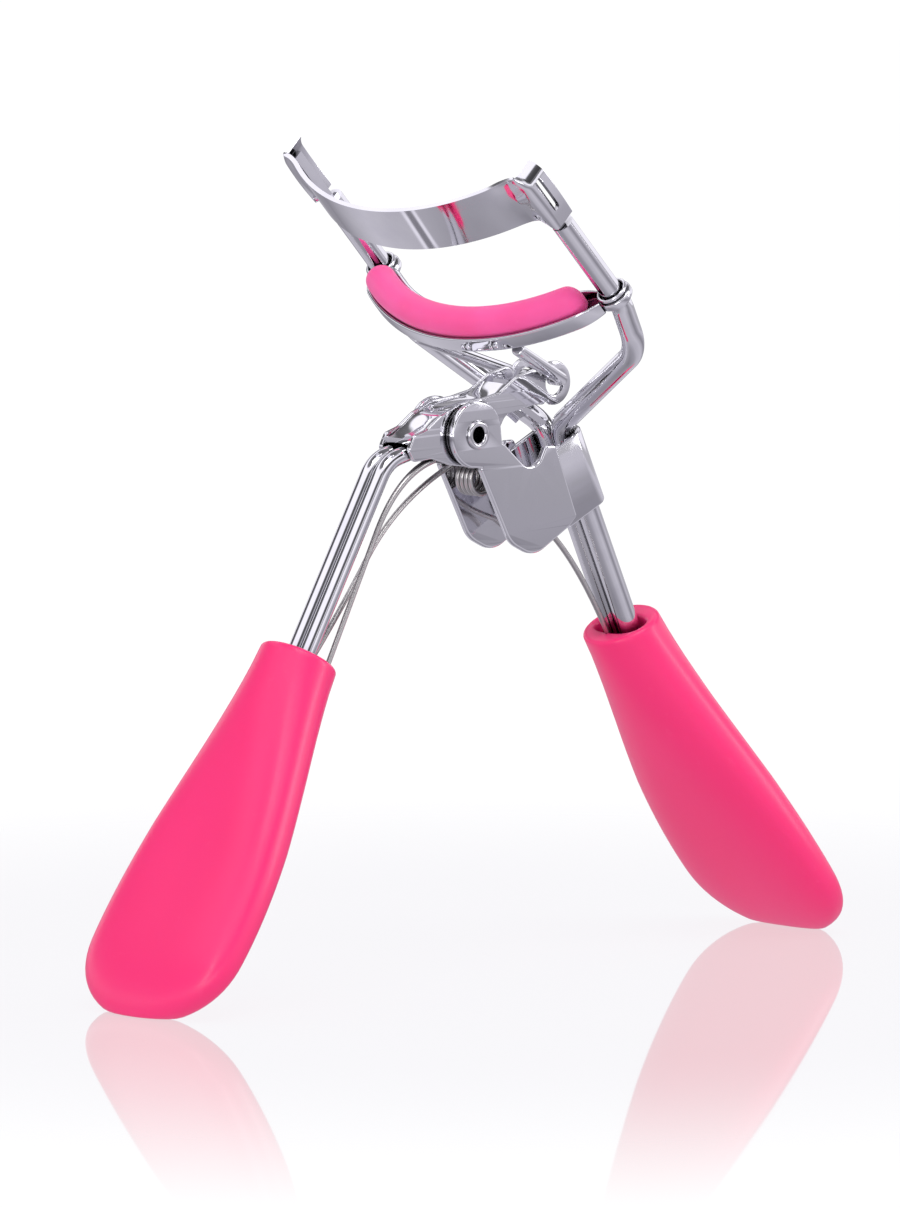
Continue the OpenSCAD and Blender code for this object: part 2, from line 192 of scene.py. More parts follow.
def lathe(name, profile, centre, axis, mat, sides=64, sharpAngle=38):
    # profile is a closed loop of (radius, height) turned about axis
    axis = axis.normalized()
    a = axis.orthogonal().normalized()
    b = axis.cross(a)
    n = len(profile)
    verts = []
    for k in range(sides):
        t = 2 * math.pi * k / sides
        d = a * math.cos(t) + b * math.sin(t)
        verts += [centre + (d * r + axis * h) * mm for r, h in profile]
    faces = []
    for k in range(sides):
        k2 = (k + 1) % sides
        for i in range(n):
            i2 = (i + 1) % n
            faces.append((k * n + i, k * n + i2, k2 * n + i2, k2 * n + i))
    return newPiece(name, verts, faces, mat, sharpAngle)


def roundedLoop(corners, steps=8):
    # closed outline in mm: each corner is (x, z, radius)
    out = []
    n = len(corners)
    for i in range(n):
        p = Vector(corners[i][:2])
        before = Vector(corners[i - 1][:2]) - p
        after = Vector(corners[(i + 1) % n][:2]) - p
        d1, d2 = before.normalized(), after.normalized()
        half = d1.angle(d2) / 2
        r = corners[i][2]
        if r < 1e-6 or half > math.pi / 2 - 0.02:
            out.append(p)
            continue
        cut = min(r / math.tan(half), 0.499 * before.length, 0.499 * after.length)
        r = cut * math.tan(half)
        centre = p + (d1 + d2).normalized() * (r / math.sin(half))
        a, b = p + d1 * cut - centre, p + d2 * cut - centre
        sweepAngle = a.angle_signed(b)
        for k in range(steps + 1):
            out.append(centre + Matrix.Rotation(-sweepAngle * k / steps, 2) @ a)
    return out


def circleLoop(x, z, r, steps=48):
    angles = [2 * math.pi * k / steps for k in range(steps)]
    return [Vector((x + r * math.cos(a), z + r * math.sin(a))) for a in angles]


def sheetPlate(name, outline, holes, yLow, yHigh, edge, mat, smooth=4):
    # flat sheet part standing in the side view, with rolled edges outside and round its holes
    curve = bpy.data.curves.new(name, "CURVE")
    curve.dimensions = "2D"
    curve.fill_mode = "BOTH"
    half = (yHigh - yLow) / 2
    curve.extrude = (half - edge) * mm
    curve.bevel_depth = edge * mm
    curve.bevel_resolution = smooth
    curve.offset = -edge * mm
    for loop in [outline] + holes:
        spline = curve.splines.new("POLY")
        spline.points.add(len(loop) - 1)
        for point, p in zip(spline.points, loop):
            point.co = (p[0] * mm, p[1] * mm, 0, 1)
        spline.use_cyclic_u = True
    holder = bpy.data.objects.new(name, curve)
    bpy.context.scene.collection.objects.link(holder)
    mesh = bpy.data.meshes.new_from_object(holder.evaluated_get(bpy.context.evaluated_depsgraph_get()))
    bpy.data.objects.remove(holder)
    bpy.data.curves.remove(curve)
    middle = Matrix.Translation(sidePoint(0, 0, (yLow + yHigh) / 2))
    mesh.transform(middle @ Matrix.Rotation(math.pi / 2, 4, "X"))
    bm = bmesh.new()
    bm.from_mesh(mesh)
    bmesh.ops.remove_doubles(bm, verts=bm.verts, dist=2e-6)
    bmesh.ops.recalc_face_normals(bm, faces=bm.faces)
    bm.to_mesh(mesh)
    bm.free()
    mesh.materials.clear()
    mesh.materials.append(mat)
    mesh.shade_smooth()
    piece = bpy.data.objects.new(name, mesh)
    bpy.context.scene.collection.objects.link(piece)
    weighted = piece.modifiers.new("flatFaces", "WEIGHTED_NORMAL")
    weighted.keep_sharp = False
    weighted.weight = 80
    return settle(piece)


def joinPieces(name, pieces):
    # several shells of one stamped part become one object
    bm = bmesh.new()
    for piece in pieces:
        bm.from_mesh(piece.data)
    mesh = bpy.data.meshes.new(name)
    bm.to_mesh(mesh)
    bm.free()
    mesh.materials.append(pieces[0].data.materials[0])
    joined = bpy.data.objects.new(name, mesh)
    bpy.context.scene.collection.objects.link(joined)
    for piece in pieces:
        bpy.data.objects.remove(piece)
    return joined


# shader groups, built once
def nodeGroup(name, inputs, outputs):
    tree = bpy.data.node_groups.new(name, "ShaderNodeTree")
    for label, kind, value in inputs:
        socket = tree.interface.new_socket(label, in_out="INPUT", socket_type=kind)
        socket.default_value = value
    for label, kind in outputs:
        tree.interface.new_socket(label, in_out="OUTPUT", socket_type=kind)
    return tree, tree.nodes.new("NodeGroupInput"), tree.nodes.new("NodeGroupOutput")


def feed(tree, socket, value):
    # a value is either another node's output or a fixed one
    if hasattr(value, "is_output"):
        tree.links.new(value, socket)
    else:
        socket.default_value = value


def mathNode(tree, operation, a, b):
    node = tree.nodes.new("ShaderNodeMath")
    node.operation = operation
    feed(tree, node.inputs[0], a)
    feed(tree, node.inputs[1], b)
    return node.outputs[0]


def noiseNode(tree, coords, scale, detail=3.0, roughness=0.5):
    node = tree.nodes.new("ShaderNodeTexNoise")
    tree.links.new(coords, node.inputs["Vector"])
    feed(tree, node.inputs["Scale"], scale)
    node.inputs["Detail"].default_value = detail
    node.inputs["Roughness"].default_value = roughness
    return node.outputs["Fac"]


def mixColour(tree, factor, a, b, kind="MIX"):
    node = tree.nodes.new("ShaderNodeMix")
    node.data_type = "RGBA"
    node.blend_type = kind
    for place, value in ((0, factor), (6, a), (7, b)):  # the colour sockets of a Mix node
        feed(tree, node.inputs[place], value)
    return node.outputs[2]


def rampNode(tree, value, stops):
    node = tree.nodes.new("ShaderNodeValToRGB")
    tree.links.new(value, node.inputs[0])
    elements = node.color_ramp.elements
    while len(elements) < len(stops):
        elements.new(0.5)
    for element, (position, shade) in zip(elements, stops):
        element.position = position
        element.color = (shade, shade, shade, 1)
    return node.outputs[0]


def platedMetalGroup():
    # bright plating: faint cloudiness, hairline polishing marks, handling haze, and painted shade where
    # ambient occlusion darkens the colour in crevices and between parts
    tree, given, results = nodeGroup("platedMetal", [
        ("Tint", "NodeSocketColor", (0.8, 0.8, 0.83, 1)),
        ("Haze Tint", "NodeSocketColor", (0.6, 0.6, 0.64, 1)),
        ("Cloud Scale", "NodeSocketFloat", 220.0), ("Hairline Scale", "NodeSocketFloat", 2400.0),
        ("Smooth", "NodeSocketFloat", 0.06), ("Haze", "NodeSocketFloat", 0.12),
        ("Painted Shade Reach", "NodeSocketFloat", 0.0022)],
        [("Colour", "NodeSocketColor"), ("Roughness", "NodeSocketFloat"), ("Height", "NodeSocketFloat")])
    coords = tree.nodes.new("ShaderNodeTexCoord").outputs["Object"]
    cloud = noiseNode(tree, coords, given.outputs["Cloud Scale"], 4.0, 0.6)
    stretch = tree.nodes.new("ShaderNodeMapping")
    stretch.inputs["Scale"].default_value = (1.0, 0.06, 0.35)
    tree.links.new(coords, stretch.inputs["Vector"])
    hairline = noiseNode(tree, stretch.outputs[0], given.outputs["Hairline Scale"], 2.0, 0.5)
    smudge = rampNode(tree, cloud, [(0.46, 0.0), (0.72, 1.0)])
    mark = rampNode(tree, hairline, [(0.55, 0.0), (0.75, 1.0)])
    # painted shade: ambient occlusion multiplies the colour darker in crevices and where parts stand close
    occlusionForShade = tree.nodes.new("ShaderNodeAmbientOcclusion")
    occlusionForShade.samples = 6
    tree.links.new(given.outputs["Painted Shade Reach"], occlusionForShade.inputs["Distance"])
    paintedCreviceShade = rampNode(tree, occlusionForShade.outputs["AO"], [(0.25, 0.22), (0.8, 1.0)])
    hazed = mathNode(tree, "MULTIPLY", smudge, 0.5)
    plated = mixColour(tree, hazed, given.outputs["Tint"], given.outputs["Haze Tint"])
    tree.links.new(mixColour(tree, 1.0, plated, paintedCreviceShade, "MULTIPLY"), results.inputs["Colour"])
    haze = mathNode(tree, "MULTIPLY", smudge, given.outputs["Haze"])
    rough = mathNode(tree, "ADD", given.outputs["Smooth"], haze)
    rough = mathNode(tree, "ADD", rough, mathNode(tree, "MULTIPLY", mark, 0.05))
    tree.links.new(rough, results.inputs["Roughness"])
    height = mathNode(tree, "ADD", cloud, mathNode(tree, "MULTIPLY", mark, 0.1))
    tree.links.new(height, results.inputs["Height"])
    return tree


def mouldedSkinGroup():
    # moulded skin: slow colour drift, fine grain and a few scuffs
    tree, given, results = nodeGroup("mouldedSkin", [
        ("Body", "NodeSocketColor", (1, 0.05, 0.2, 1)), ("Deep", "NodeSocketColor", (0.8, 0.02, 0.12, 1)),
        ("Scuff", "NodeSocketColor", (1, 0.3, 0.45, 1)), ("Drift Scale", "NodeSocketFloat", 60.0),
        ("Grain Scale", "NodeSocketFloat", 1800.0), ("Gloss", "NodeSocketFloat", 0.3),
        ("Scuff Amount", "NodeSocketFloat", 0.25)],
        [("Colour", "NodeSocketColor"), ("Roughness", "NodeSocketFloat"), ("Height", "NodeSocketFloat")])
    coords = tree.nodes.new("ShaderNodeTexCoord").outputs["Object"]
    slow = noiseNode(tree, coords, given.outputs["Drift Scale"], 2.0, 0.5)
    drift = mathNode(tree, "MULTIPLY", rampNode(tree, slow, [(0.35, 0.0), (0.7, 1.0)]), 0.35)
    grain = noiseNode(tree, coords, given.outputs["Grain Scale"], 2.0, 0.6)
    scuffs = rampNode(tree, noiseNode(tree, coords, 420.0, 6.0, 0.75), [(0.62, 0.0), (0.7, 1.0)])
    scuff = mathNode(tree, "MULTIPLY", scuffs, given.outputs["Scuff Amount"])
    colour = mixColour(tree, drift, given.outputs["Body"], given.outputs["Deep"])
    tree.links.new(mixColour(tree, scuff, colour, given.outputs["Scuff"]), results.inputs["Colour"])
    rough = mathNode(tree, "ADD", given.outputs["Gloss"], mathNode(tree, "MULTIPLY", grain, 0.08))
    rough = mathNode(tree, "ADD", rough, mathNode(tree, "MULTIPLY", scuff, 0.2))
    tree.links.new(rough, results.inputs["Roughness"])
    height = mathNode(tree, "SUBTRACT", grain, mathNode(tree, "MULTIPLY", scuffs, 0.3))
    tree.links.new(height, results.inputs["Height"])
    return tree


platedMetal = platedMetalGroup()
mouldedSkin = mouldedSkinGroup()


def finish(name, group, values, bump, shader):
    # bump is (strength, depth in mm); shader holds what is the same all over the surface
    mat = bpy.data.materials.new(name)
    mat.use_nodes = True
    tree = mat.node_tree
    principled = tree.nodes["Principled BSDF"]
    for label, value in shader.items():
        principled.inputs[label].default_value = value
    effect = tree.nodes.new("ShaderNodeGroup")
    effect.node_tree = group
    for label, value in values.items():
        effect.inputs[label].default_value = value
    tree.links.new(effect.outputs["Colour"], principled.inputs["Base Color"])
    tree.links.new(effect.outputs["Roughness"], principled.inputs["Roughness"])
    height = tree.nodes.new("ShaderNodeBump")
    height.inputs["Strength"].default_value = bump[0]
    height.inputs["Distance"].default_value = bump[1] * mm
    tree.links.new(effect.outputs["Height"], height.inputs["Height"])
    tree.links.new(height.outputs["Normal"], principled.inputs["Normal"])
    return mat


chromeWire = finish("chromeWire", platedMetal, {
    "Tint": (0.86, 0.855, 0.89, 1), "Haze Tint": (0.72, 0.71, 0.77, 1), "Smooth": 0.035, "Haze": 0.03,
    "Cloud Scale": 260.0, "Hairline Scale": 500.0}, (0.02, 0.006), {"Metallic": 1.0})
chromeSheet = finish("chromeSheet", platedMetal, {
    "Tint": (0.86, 0.855, 0.89, 1), "Haze Tint": (0.74, 0.73, 0.79, 1), "Smooth": 0.045, "Haze": 0.05,
    "Cloud Scale": 180.0, "Hairline Scale": 700.0}, (0.08, 0.01), {"Metallic": 1.0})
rivetMetal = finish("rivetMetal", platedMetal, {
    "Tint": (0.82, 0.81, 0.84, 1), "Haze Tint": (0.55, 0.55, 0.58, 1), "Smooth": 0.09, "Haze": 0.15,
    "Cloud Scale": 500.0}, (0.25, 0.012), {"Metallic": 1.0})
springSteel = finish("springSteel", platedMetal, {
    "Tint": (0.66, 0.64, 0.63, 1), "Haze Tint": (0.5, 0.48, 0.47, 1), "Smooth": 0.3, "Haze": 0.1,
    "Cloud Scale": 500.0, "Hairline Scale": 600.0}, (0.08, 0.006), {"Metallic": 1.0})
pinkGrip = finish("pinkGrip", mouldedSkin, {
    "Body": (0.96, 0.018, 0.185, 1), "Deep": (0.9, 0.012, 0.15, 1), "Scuff": (1.0, 0.1, 0.28, 1),
    "Gloss": 0.34, "Drift Scale": 55.0, "Scuff Amount": 0.12}, (0.12, 0.012),
    {"IOR": 1.5, "Coat Weight": 0.25, "Coat Roughness": 0.22, "Subsurface Weight": 0.12,
     "Subsurface Scale": 0.0015, "Subsurface Radius": (1.0, 0.25, 0.35)})
pinkPad = finish("pinkPad", mouldedSkin, {
    "Body": (0.97, 0.1, 0.37, 1), "Deep": (0.88, 0.03, 0.18, 1), "Scuff": (1.0, 0.2, 0.4, 1),
    "Gloss": 0.42, "Drift Scale": 120.0, "Grain Scale": 2600.0, "Scuff Amount": 0.3}, (0.2, 0.015),
    {"IOR": 1.42, "Sheen Weight": 0.1, "Sheen Roughness": 0.5, "Subsurface Weight": 0.3,
     "Subsurface Scale": 0.0012, "Subsurface Radius": (1.0, 0.3, 0.4)})
print("finishes ready")


# frame wires: one long wire a side, handle to guide post, with a flattened tongue
frameWire = dict(radius=1.2, sides=32, y=1.22, spreadSlope=0.664, bends=(2.6, 4.2, 3.2), inGrip=9.0,
                 postRound=11.9, tongueAt=(0.03, 1.2, 4.0, 7.2), tongueFront=0.05, tongueBack=-1.08,
                 tongueHalf=0.42)


def makeFrameWire(sign, name, node):
    w = frameWire
    sleeveTop = sidePoint(*layout["sleeveTop"], sign * w["y"])
    foot = sleeveTop + frameDown * ((layout["frameGripAt"] + w["inGrip"]) * mm)
    rise = (layout["postY"] - w["y"]) * w["spreadSlope"]
    corner = sidePoint(*layout["sleeveTop"], sign * layout["postY"]) - frameDown * (rise * mm)
    seat = jawPoint(0, sign * layout["postY"], 0)
    # the post line meets the plane of the spread wires at the post's foot
    a, b = -frameDown, postUp
    gap = seat - corner
    along = (gap.x * b.z - gap.z * b.x) / (a.x * b.z - a.z * b.x)
    postFoot = corner + a * along
    shoulder = jawPoint(0, sign * layout["postY"], w["postRound"])
    path = bentPath([foot, sleeveTop, corner, postFoot, shoulder], [q * mm for q in w["bends"]])
    drawn = wireSection(w["radius"] * mm, w["sides"])
    sections = [drawn for _ in path]
    # carry on up the post as a flat tongue, cut square at the shoulder
    path += [jawPoint(0, sign * layout["postY"], w["postRound"] + s) for s in w["tongueAt"]]
    half = w["tongueHalf"] * mm
    for sideA, sideB in crossFrames(path, postOut)[len(sections):]:
        ring = []
        for u, v in drawn:
            p = sideA * u + sideB * v
            x = max(min(p.dot(postOut), w["tongueFront"] * mm), w["tongueBack"] * mm)
            y = max(-half, min(half, p.dot(acrossJaws)))
            q = postOut * x + acrossJaws * y
            ring.append((q.dot(sideA), q.dot(sideB)))
        sections.append(ring)
    verts, faces = sweep(path, postOut, sections)
    piece = newPiece(name, verts, faces, chromeWire)
    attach(piece, "frame")
    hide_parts(node)


makeFrameWire(-1, "frameWireNear", "frame_wire_near")
makeFrameWire(1, "frameWireFar", "frame_wire_far")
print("frame wires bent")


# upper jaw: one pressed strip whose ends turn round the posts as deep-drawn cups
upperJaw = dict(centre=18.0, radius=25.75, sheet=0.5, low=14.3, high=20.15, plateLow=12.5, plateHigh=20.5,
                plateY=18.5, plateEnd=1.25, arcEnd=38.5, shoulderX=-1.65, shoulderR=3.0, cornerR=0.8,
                easeLength=4.5, curl=0.8, curlFrom=0.78, domeY=17.35, bulge=0.4, slotIn=-0.6, slotOut=0.3,
                levels=(0.0, 0.04, 0.2, 0.24, 0.4, 0.6, 0.78, 0.82, 0.9, 0.95, 1.0))


def jawPlan(w, count):
    # half of the plan curve, middle to free edge: (x, y, outward x, outward y, end weight)
    c, r = w["centre"], w["radius"]
    aEnd = math.radians(w["arcEnd"])
    points = []
    for k in range(count):
        a = aEnd * k / count
        points.append((c - r * math.cos(a), r * math.sin(a), -math.cos(a), math.sin(a), 0.0))
    # the strip steps out into a shoulder, then turns a tight corner into the end plate
    before = Vector((c - r * math.cos(aEnd * 0.98), r * math.sin(aEnd * 0.98), 0))
    arcEnd = Vector((c - r * math.cos(aEnd), r * math.sin(aEnd), 0))
    corner = Vector((w["shoulderX"], w["plateY"], 0))
    plateStart = Vector((w["slotIn"] - 0.3, w["plateY"], 0))
    route = bentPath([before, arcEnd, corner, plateStart], [w["shoulderR"], w["cornerR"]], 0.25)
    spots = [p for p in route if p.y > arcEnd.y + 0.05]
    plateXs = (w["slotIn"], w["slotOut"], w["slotOut"] + 0.25, w["plateEnd"])
    spots += [Vector((x, w["plateY"], 0)) for x in plateXs]
    for i, p in enumerate(spots):
        t = (spots[min(i + 1, len(spots) - 1)] - (spots[i - 1] if i else arcEnd)).normalized()
        points.append((p.x, p.y, -t.y, t.x, min(1.0, (p.y - arcEnd.y) / 1.5)))
    return points


def makeUpperJaw():
    w = upperJaw
    half = jawPlan(w, 26)
    plan = [(x, -y, nx, -ny, e) for x, y, nx, ny, e in half[:0:-1]] + half
    n = len(plan)
    lengths = [0.0]
    for i in range(1, n):
        stride = math.hypot(plan[i][0] - plan[i - 1][0], plan[i][1] - plan[i - 1][1])
        lengths.append(lengths[-1] + stride)
    middle = lengths[-1] / 2
    endStart = min(abs(l - middle) for l, p in zip(lengths, plan) if p[4] >= 1)
    grid = []
    for i, (x, y, nx, ny, e) in enumerate(plan):
        # the deep-drawn end eases in along the strip's last stretch
        d = abs(lengths[i] - middle)
        t = max(0.0, min(1.0, (d - (endStart - w["easeLength"])) / w["easeLength"]))
        ease = t * t * (3 - 2 * t)
        step = max(0.0, min(1.0, (d - (endStart - 0.6)) / 1.2))
        low = w["low"] + (w["plateLow"] - w["low"]) * step * step * (3 - 2 * step)
        high = w["high"] + (w["plateHigh"] - w["high"]) * ease
        column = []
        for v in w["levels"]:
            # belly of the drawn cup, and its top edge curling in over the post
            out = w["bulge"] * ease * math.sin(math.pi * min(1.0, v * 1.05)) * (1 - e * 0.55)
            px, py = x + nx * out, y + ny * out
            if v > w["curlFrom"]:
                turn = (v - w["curlFrom"]) / (1 - w["curlFrom"]) * math.pi / 2
                py += (math.copysign(w["domeY"], y) - py) * w["curl"] * e * (1 - math.cos(turn))
            column.append(jawPoint(px, py, low + (high - low) * v))
        grid.append(column)
    verts = [p for column in grid for p in column]
    m = len(w["levels"])
    faces = []
    for i in range(n - 1):
        xMid = (plan[i][0] + plan[i + 1][0]) / 2
        onPlate = plan[i][4] > 0 and all(abs(abs(plan[j][1]) - w["plateY"]) < 1e-6 for j in (i, i + 1))
        for k in range(m - 1):
            inSlot = onPlate and w["slotIn"] < xMid < w["slotOut"] and 3 <= k < 6
            if not inSlot:
                faces.append((i * m + k, (i + 1) * m + k, (i + 1) * m + k + 1, i * m + k + 1))
    piece = newPiece("upperJaw", verts, faces, chromeSheet, 180)
    # normals point away from the eye side, so the sheet's thickness grows inwards
    mesh = piece.data
    centreSide = jawPoint(w["centre"], 0, 17)
    outward = sum(1 if (f.center - centreSide).dot(f.normal) > 0 else -1 for f in mesh.polygons)
    if outward < 0:
        mesh.flip_normals()
    thick = piece.modifiers.new("sheet", "SOLIDIFY")
    thick.thickness = w["sheet"] * mm
    thick.offset = -1
    thick.use_even_offset = True
    thick.use_rim = True
    rim = piece.modifiers.new("rim", "BEVEL")
    rim.width = 0.13 * mm
    rim.segments = 2
    rim.limit_method = "ANGLE"
    rim.angle_limit = math.radians(50)
    soft = piece.modifiers.new("soft", "SUBSURF")
    soft.levels = soft.render_levels = 2
    settle(piece)
    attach(piece, "frame")
    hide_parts("upper_jaw")


makeUpperJaw()
print("upper jaw pressed")


# bracket: two cheeks and a sleeve folded from one sheet
bracket = dict(half=3.5, sheet=0.75, edge=0.26, earR=3.6, hole=1.2, sleeveLength=8.7, sleeveFrom=0.9,
               sleeveEdge=0.2, neck=4.6, play=0.05)


def earOutline(cx, cz, r, fromDeg, toDeg, steps):
    angles = [math.radians(fromDeg + (toDeg - fromDeg) * k / steps) for k in range(steps + 1)]
    return [Vector((cx + r * math.cos(a), cz + r * math.sin(a))) for a in angles]


def bracketOutline():
    w = bracket
    body = roundedLoop([(0.5, -3.7, 0.6), (4.9, -12.0, 3.2), (8.4, -13.75, 3.2), (13.6, -10.95, 0.8),
                        (14.75, -9.9, 0.3), (11.55, -2.0, 0.5), (10.15, -2.0, 0.5), (9.0, -4.05, 1.6),
                        (7.0, -3.9, 1.8), (3.1, -0.45, 1.4)], 8)
    # the ear joins the body: its arc runs from the right shoulder, over the top, to the left waist
    ear = earOutline(0, 0, w["earR"], 14, 256, 56)
    return ear + [p for p in body if p.length > w["earR"] + 0.03]


def sweepOutline(name, outline, origin, xDir, yDir, zDir, length, edge, mat):
    # a section extruded along zDir with softened end edges
    n = len(outline)
    normals = []
    area = 0.0
    for i in range(n):
        p, after = outline[i], outline[(i + 1) % n]
        t = (Vector(after) - Vector(outline[i - 1])).normalized()
        normals.append(Vector((t.y, -t.x)))
        area += p[0] * after[1] - after[0] * p[1]
    flip = 1 if area > 0 else -1
    angles = [math.pi / 2 * k / 4 for k in range(5)]
    profile = [(edge * (1 - math.sin(a)), edge * (1 - math.cos(a))) for a in angles]
    levels = profile + [(inset, length - h) for inset, h in profile[::-1]]
    verts, faces = [], []
    for inset, h in levels:
        for p, q in zip(outline, normals):
            u, v = Vector(p) - q * flip * inset
            verts.append(origin + (xDir * u + yDir * v + zDir * h) * mm)
    for i in range(len(levels) - 1):
        for k in range(n):
            k2 = (k + 1) % n
            faces.append((i * n + k, i * n + k2, (i + 1) * n + k2, (i + 1) * n + k))
    faces.append(tuple(range(n))[::-1])
    faces.append(tuple((len(levels) - 1) * n + k for k in range(n)))
    return newPiece(name, verts, faces, mat, 50)


def makeBracket():
    w = bracket
    cheeks = []
    for sign in (-1, 1):
        inner = w["half"] - w["sheet"]
        low, high = sorted((sign * inner, sign * w["half"]))
        holes = [circleLoop(0, 0, w["hole"])]
        cheek = sheetPlate(f"cheek{sign}", bracketOutline(), holes, low, high, w["edge"], chromeSheet)
        cheeks.append(cheek)
    # the sleeve's section: an open U round the pair of wires, its mouth towards the cheeks
    inR = frameWire["radius"] + w["play"]
    outR = inR + w["sheet"]
    y = frameWire["y"]
    outer, inner = [], []
    for start, side in ((90, y), (180, -y)):
        for k in range(13):
            a = math.radians(start + 90 * k / 12)
            outer.append((outR * math.cos(a), side + outR * math.sin(a)))
            inner.append((inR * math.cos(a), side + inR * math.sin(a)))
    neck = w["neck"]
    section = [(neck, y + outR)] + outer + [(neck, -y - outR), (neck, -y - inR)]
    section += inner[::-1] + [(neck, y + inR)]
    origin = sidePoint(*layout["sleeveTop"]) + frameDown * (w["sleeveFrom"] * mm)
    inward = Vector((frameDown.z, 0, -frameDown.x))
    sleeve = sweepOutline("sleeve", section, origin, inward, acrossJaws, frameDown, w["sleeveLength"],
                          w["sleeveEdge"], chromeSheet)
    piece = joinPieces("bracketSheet", cheeks + [sleeve])
    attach(piece, "frame")
    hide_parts("bracket")


makeBracket()
print("bracket folded")


# pivot: tubular rivet with rolled ends, and two washers
rivet = dict(body=1.15, bore=0.85, flare=1.55, roll=0.3, rollTurn=250, half=3.5)
washer = dict(bore=1.2, outer=3.3, thick=0.29, edge=0.06, at=2.575)


def makeRivet():
    w = rivet
    top = w["half"] + 0.02
    mid, half = (w["bore"] + w["flare"]) / 2, (w["flare"] - w["bore"]) / 2
    angles = [math.radians(180 - w["rollTurn"] * k / 10) for k in range(11)]
    rolled = [(mid + half * math.cos(a), top + 0.05 + w["roll"] * math.sin(a)) for a in angles]
    upper = [(w["bore"], top)] + rolled + [(w["body"], top)]
    lower = [(r, -h) for r, h in upper]
    loop = upper[::-1] + [(w["bore"], 0.0)] + lower + [(w["body"], 0.0)]
    piece = lathe("pivotRivet", loop, pivot, acrossJaws, rivetMetal, 72, 60)
    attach(piece, "frame")
    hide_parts("pivot_rivet")


def makeWashers():
    w = washer
    rings = []
    top, e = w["thick"] / 2, w["edge"]
    upper = [(w["outer"], top - e), (w["outer"] - e, top), (w["bore"] + e, top), (w["bore"], top - e)]
    loop = [(r, -h) for r, h in upper[::-1]] + upper
    for sign in (-1, 1):
        centre = pivot + acrossJaws * (sign * w["at"] * mm)
        rings.append(lathe(f"washer{sign}", loop, centre, acrossJaws, rivetMetal, 72, 30))
    piece = joinPieces("pivotWashers", rings)
    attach(piece, "frame")
    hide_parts("washers")


makeRivet()
makeWashers()
print("pivot riveted")


# rocker: folded sheet lever with a closed back, a window, a saddle and a round link ear
rocker = dict(inner=1.85, outer=2.4, edge=0.14, pivotHole=1.2, earR=2.35, earHole=1.3, sheet=0.55,
              backArch=0.35, saddleArch=1.15)


def rockerOutline():
    w = rocker
    hx, hz = layout["linkHole"]
    ear = earOutline(hx, hz, w["earR"], -105, 150, 40)
    body = roundedLoop([(10.2, 6.15, 0.9), (7.0, 5.55, 1.2), (4.4, 4.05, 1.6), (1.6, 3.55, 2.5),
                        (-1.5, 3.3, 2.0), (-4.2, 2.3, 1.6), (-6.2, 1.0, 1.6), (-8.1, 0.45, 0.7),
                        (-8.95, -1.0, 0.6), (-8.2, -2.35, 0.6), (-5.6, -2.2, 1.5), (-2.9, -3.1, 1.6),
                        (1.2, -3.75, 2.2), (3.3, -1.6, 2.0), (5.2, 1.6, 1.6), (9.6, 2.3, 1.6),
                        (11.2, 2.2, 0.4)], 6)
    return ear + body


def archedSheet(name, spine, arch):
    # a strip that follows the spine and is rounded across, its edges running into both sides
    w = rocker
    points = [Vector(p) for p in spine]
    last = len(points) - 1
    fine = []
    for i in range(last):
        p0, p1, p2, p3 = points[max(i - 1, 0)], points[i], points[i + 1], points[min(i + 2, last)]
        for k in range(4):
            t = k / 4
            fine.append(0.5 * ((2 * p1) + (p2 - p0) * t + (2 * p0 - 5 * p1 + 4 * p2 - p3) * t * t
                               + (3 * p1 - p0 - 3 * p2 + p3) * t ** 3))
    fine.append(points[-1])
    across = 14
    half = w["outer"] - 0.05
    verts, faces = [], []
    for layer in (0, 1):
        for i, p in enumerate(fine):
            a, b = fine[max(i - 1, 0)], fine[min(i + 1, len(fine) - 1)]
            t = (b - a).normalized()
            normal = Vector((-t.y, t.x))
            for k in range(across + 1):
                u = -1 + 2 * k / across
                h = arch * (math.sqrt(max(0.0, 1 - abs(u) ** 2.6)) - 1)
                q = p + normal * (h - layer * w["sheet"])
                verts.append(sidePoint(q.x, q.y, u * half * (1 if layer == 0 else 0.82)))
    n, m = len(fine), across + 1
    for layer in (0, 1):
        for i in range(n - 1):
            for k in range(m - 1):
                at = layer * n * m + i * m + k
                quad = (at, at + m, at + m + 1, at + 1)
                faces.append(quad if layer == 0 else quad[::-1])
    o = n * m
    for i in range(n - 1):
        for k in (0, m - 1):
            faces.append((i * m + k, (i + 1) * m + k, o + (i + 1) * m + k, o + i * m + k))
    for k in range(m - 1):
        for i in (0, n - 1):
            faces.append((i * m + k, i * m + k + 1, o + i * m + k + 1, o + i * m + k))
    return newPiece(name, verts, faces, chromeSheet, 45)


def makeRocker():
    w = rocker
    hx, hz = layout["linkHole"]
    parts = []
    holes = [circleLoop(0, 0, w["pivotHole"]), circleLoop(hx, hz, w["earHole"])]
    for sign in (-1, 1):
        low, high = sorted((sign * w["inner"], sign * w["outer"]))
        side = sheetPlate(f"rockerSide{sign}", rockerOutline(), holes, low, high, w["edge"], chromeSheet)
        parts.append(side)
    # the closed back: a sheet that arches from one side to the other, from the tail to the window
    spine = [(-8.6, 0.1), (-7.4, 0.45), (-5.9, 1.15), (-4.3, 2.2), (-2.6, 2.85), (-0.8, 3.2), (1.0, 3.45),
             (2.8, 3.62), (4.3, 4.1), (5.6, 4.85)]
    parts.append(archedSheet("rockerBack", spine, w["backArch"]))
    # the saddle: a rounded bridge that runs down from the window to the ear
    saddle = [(7.6, 3.55), (8.4, 3.35), (9.3, 2.95), (10.2, 2.4), (11.1, 1.8), (11.9, 1.2)]
    parts.append(archedSheet("rockerSaddle", saddle, w["saddleArch"]))
    piece = joinPieces("rockerSheet", parts)
    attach(piece, "lever")
    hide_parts("rocker")


makeRocker()
print("rocker folded")


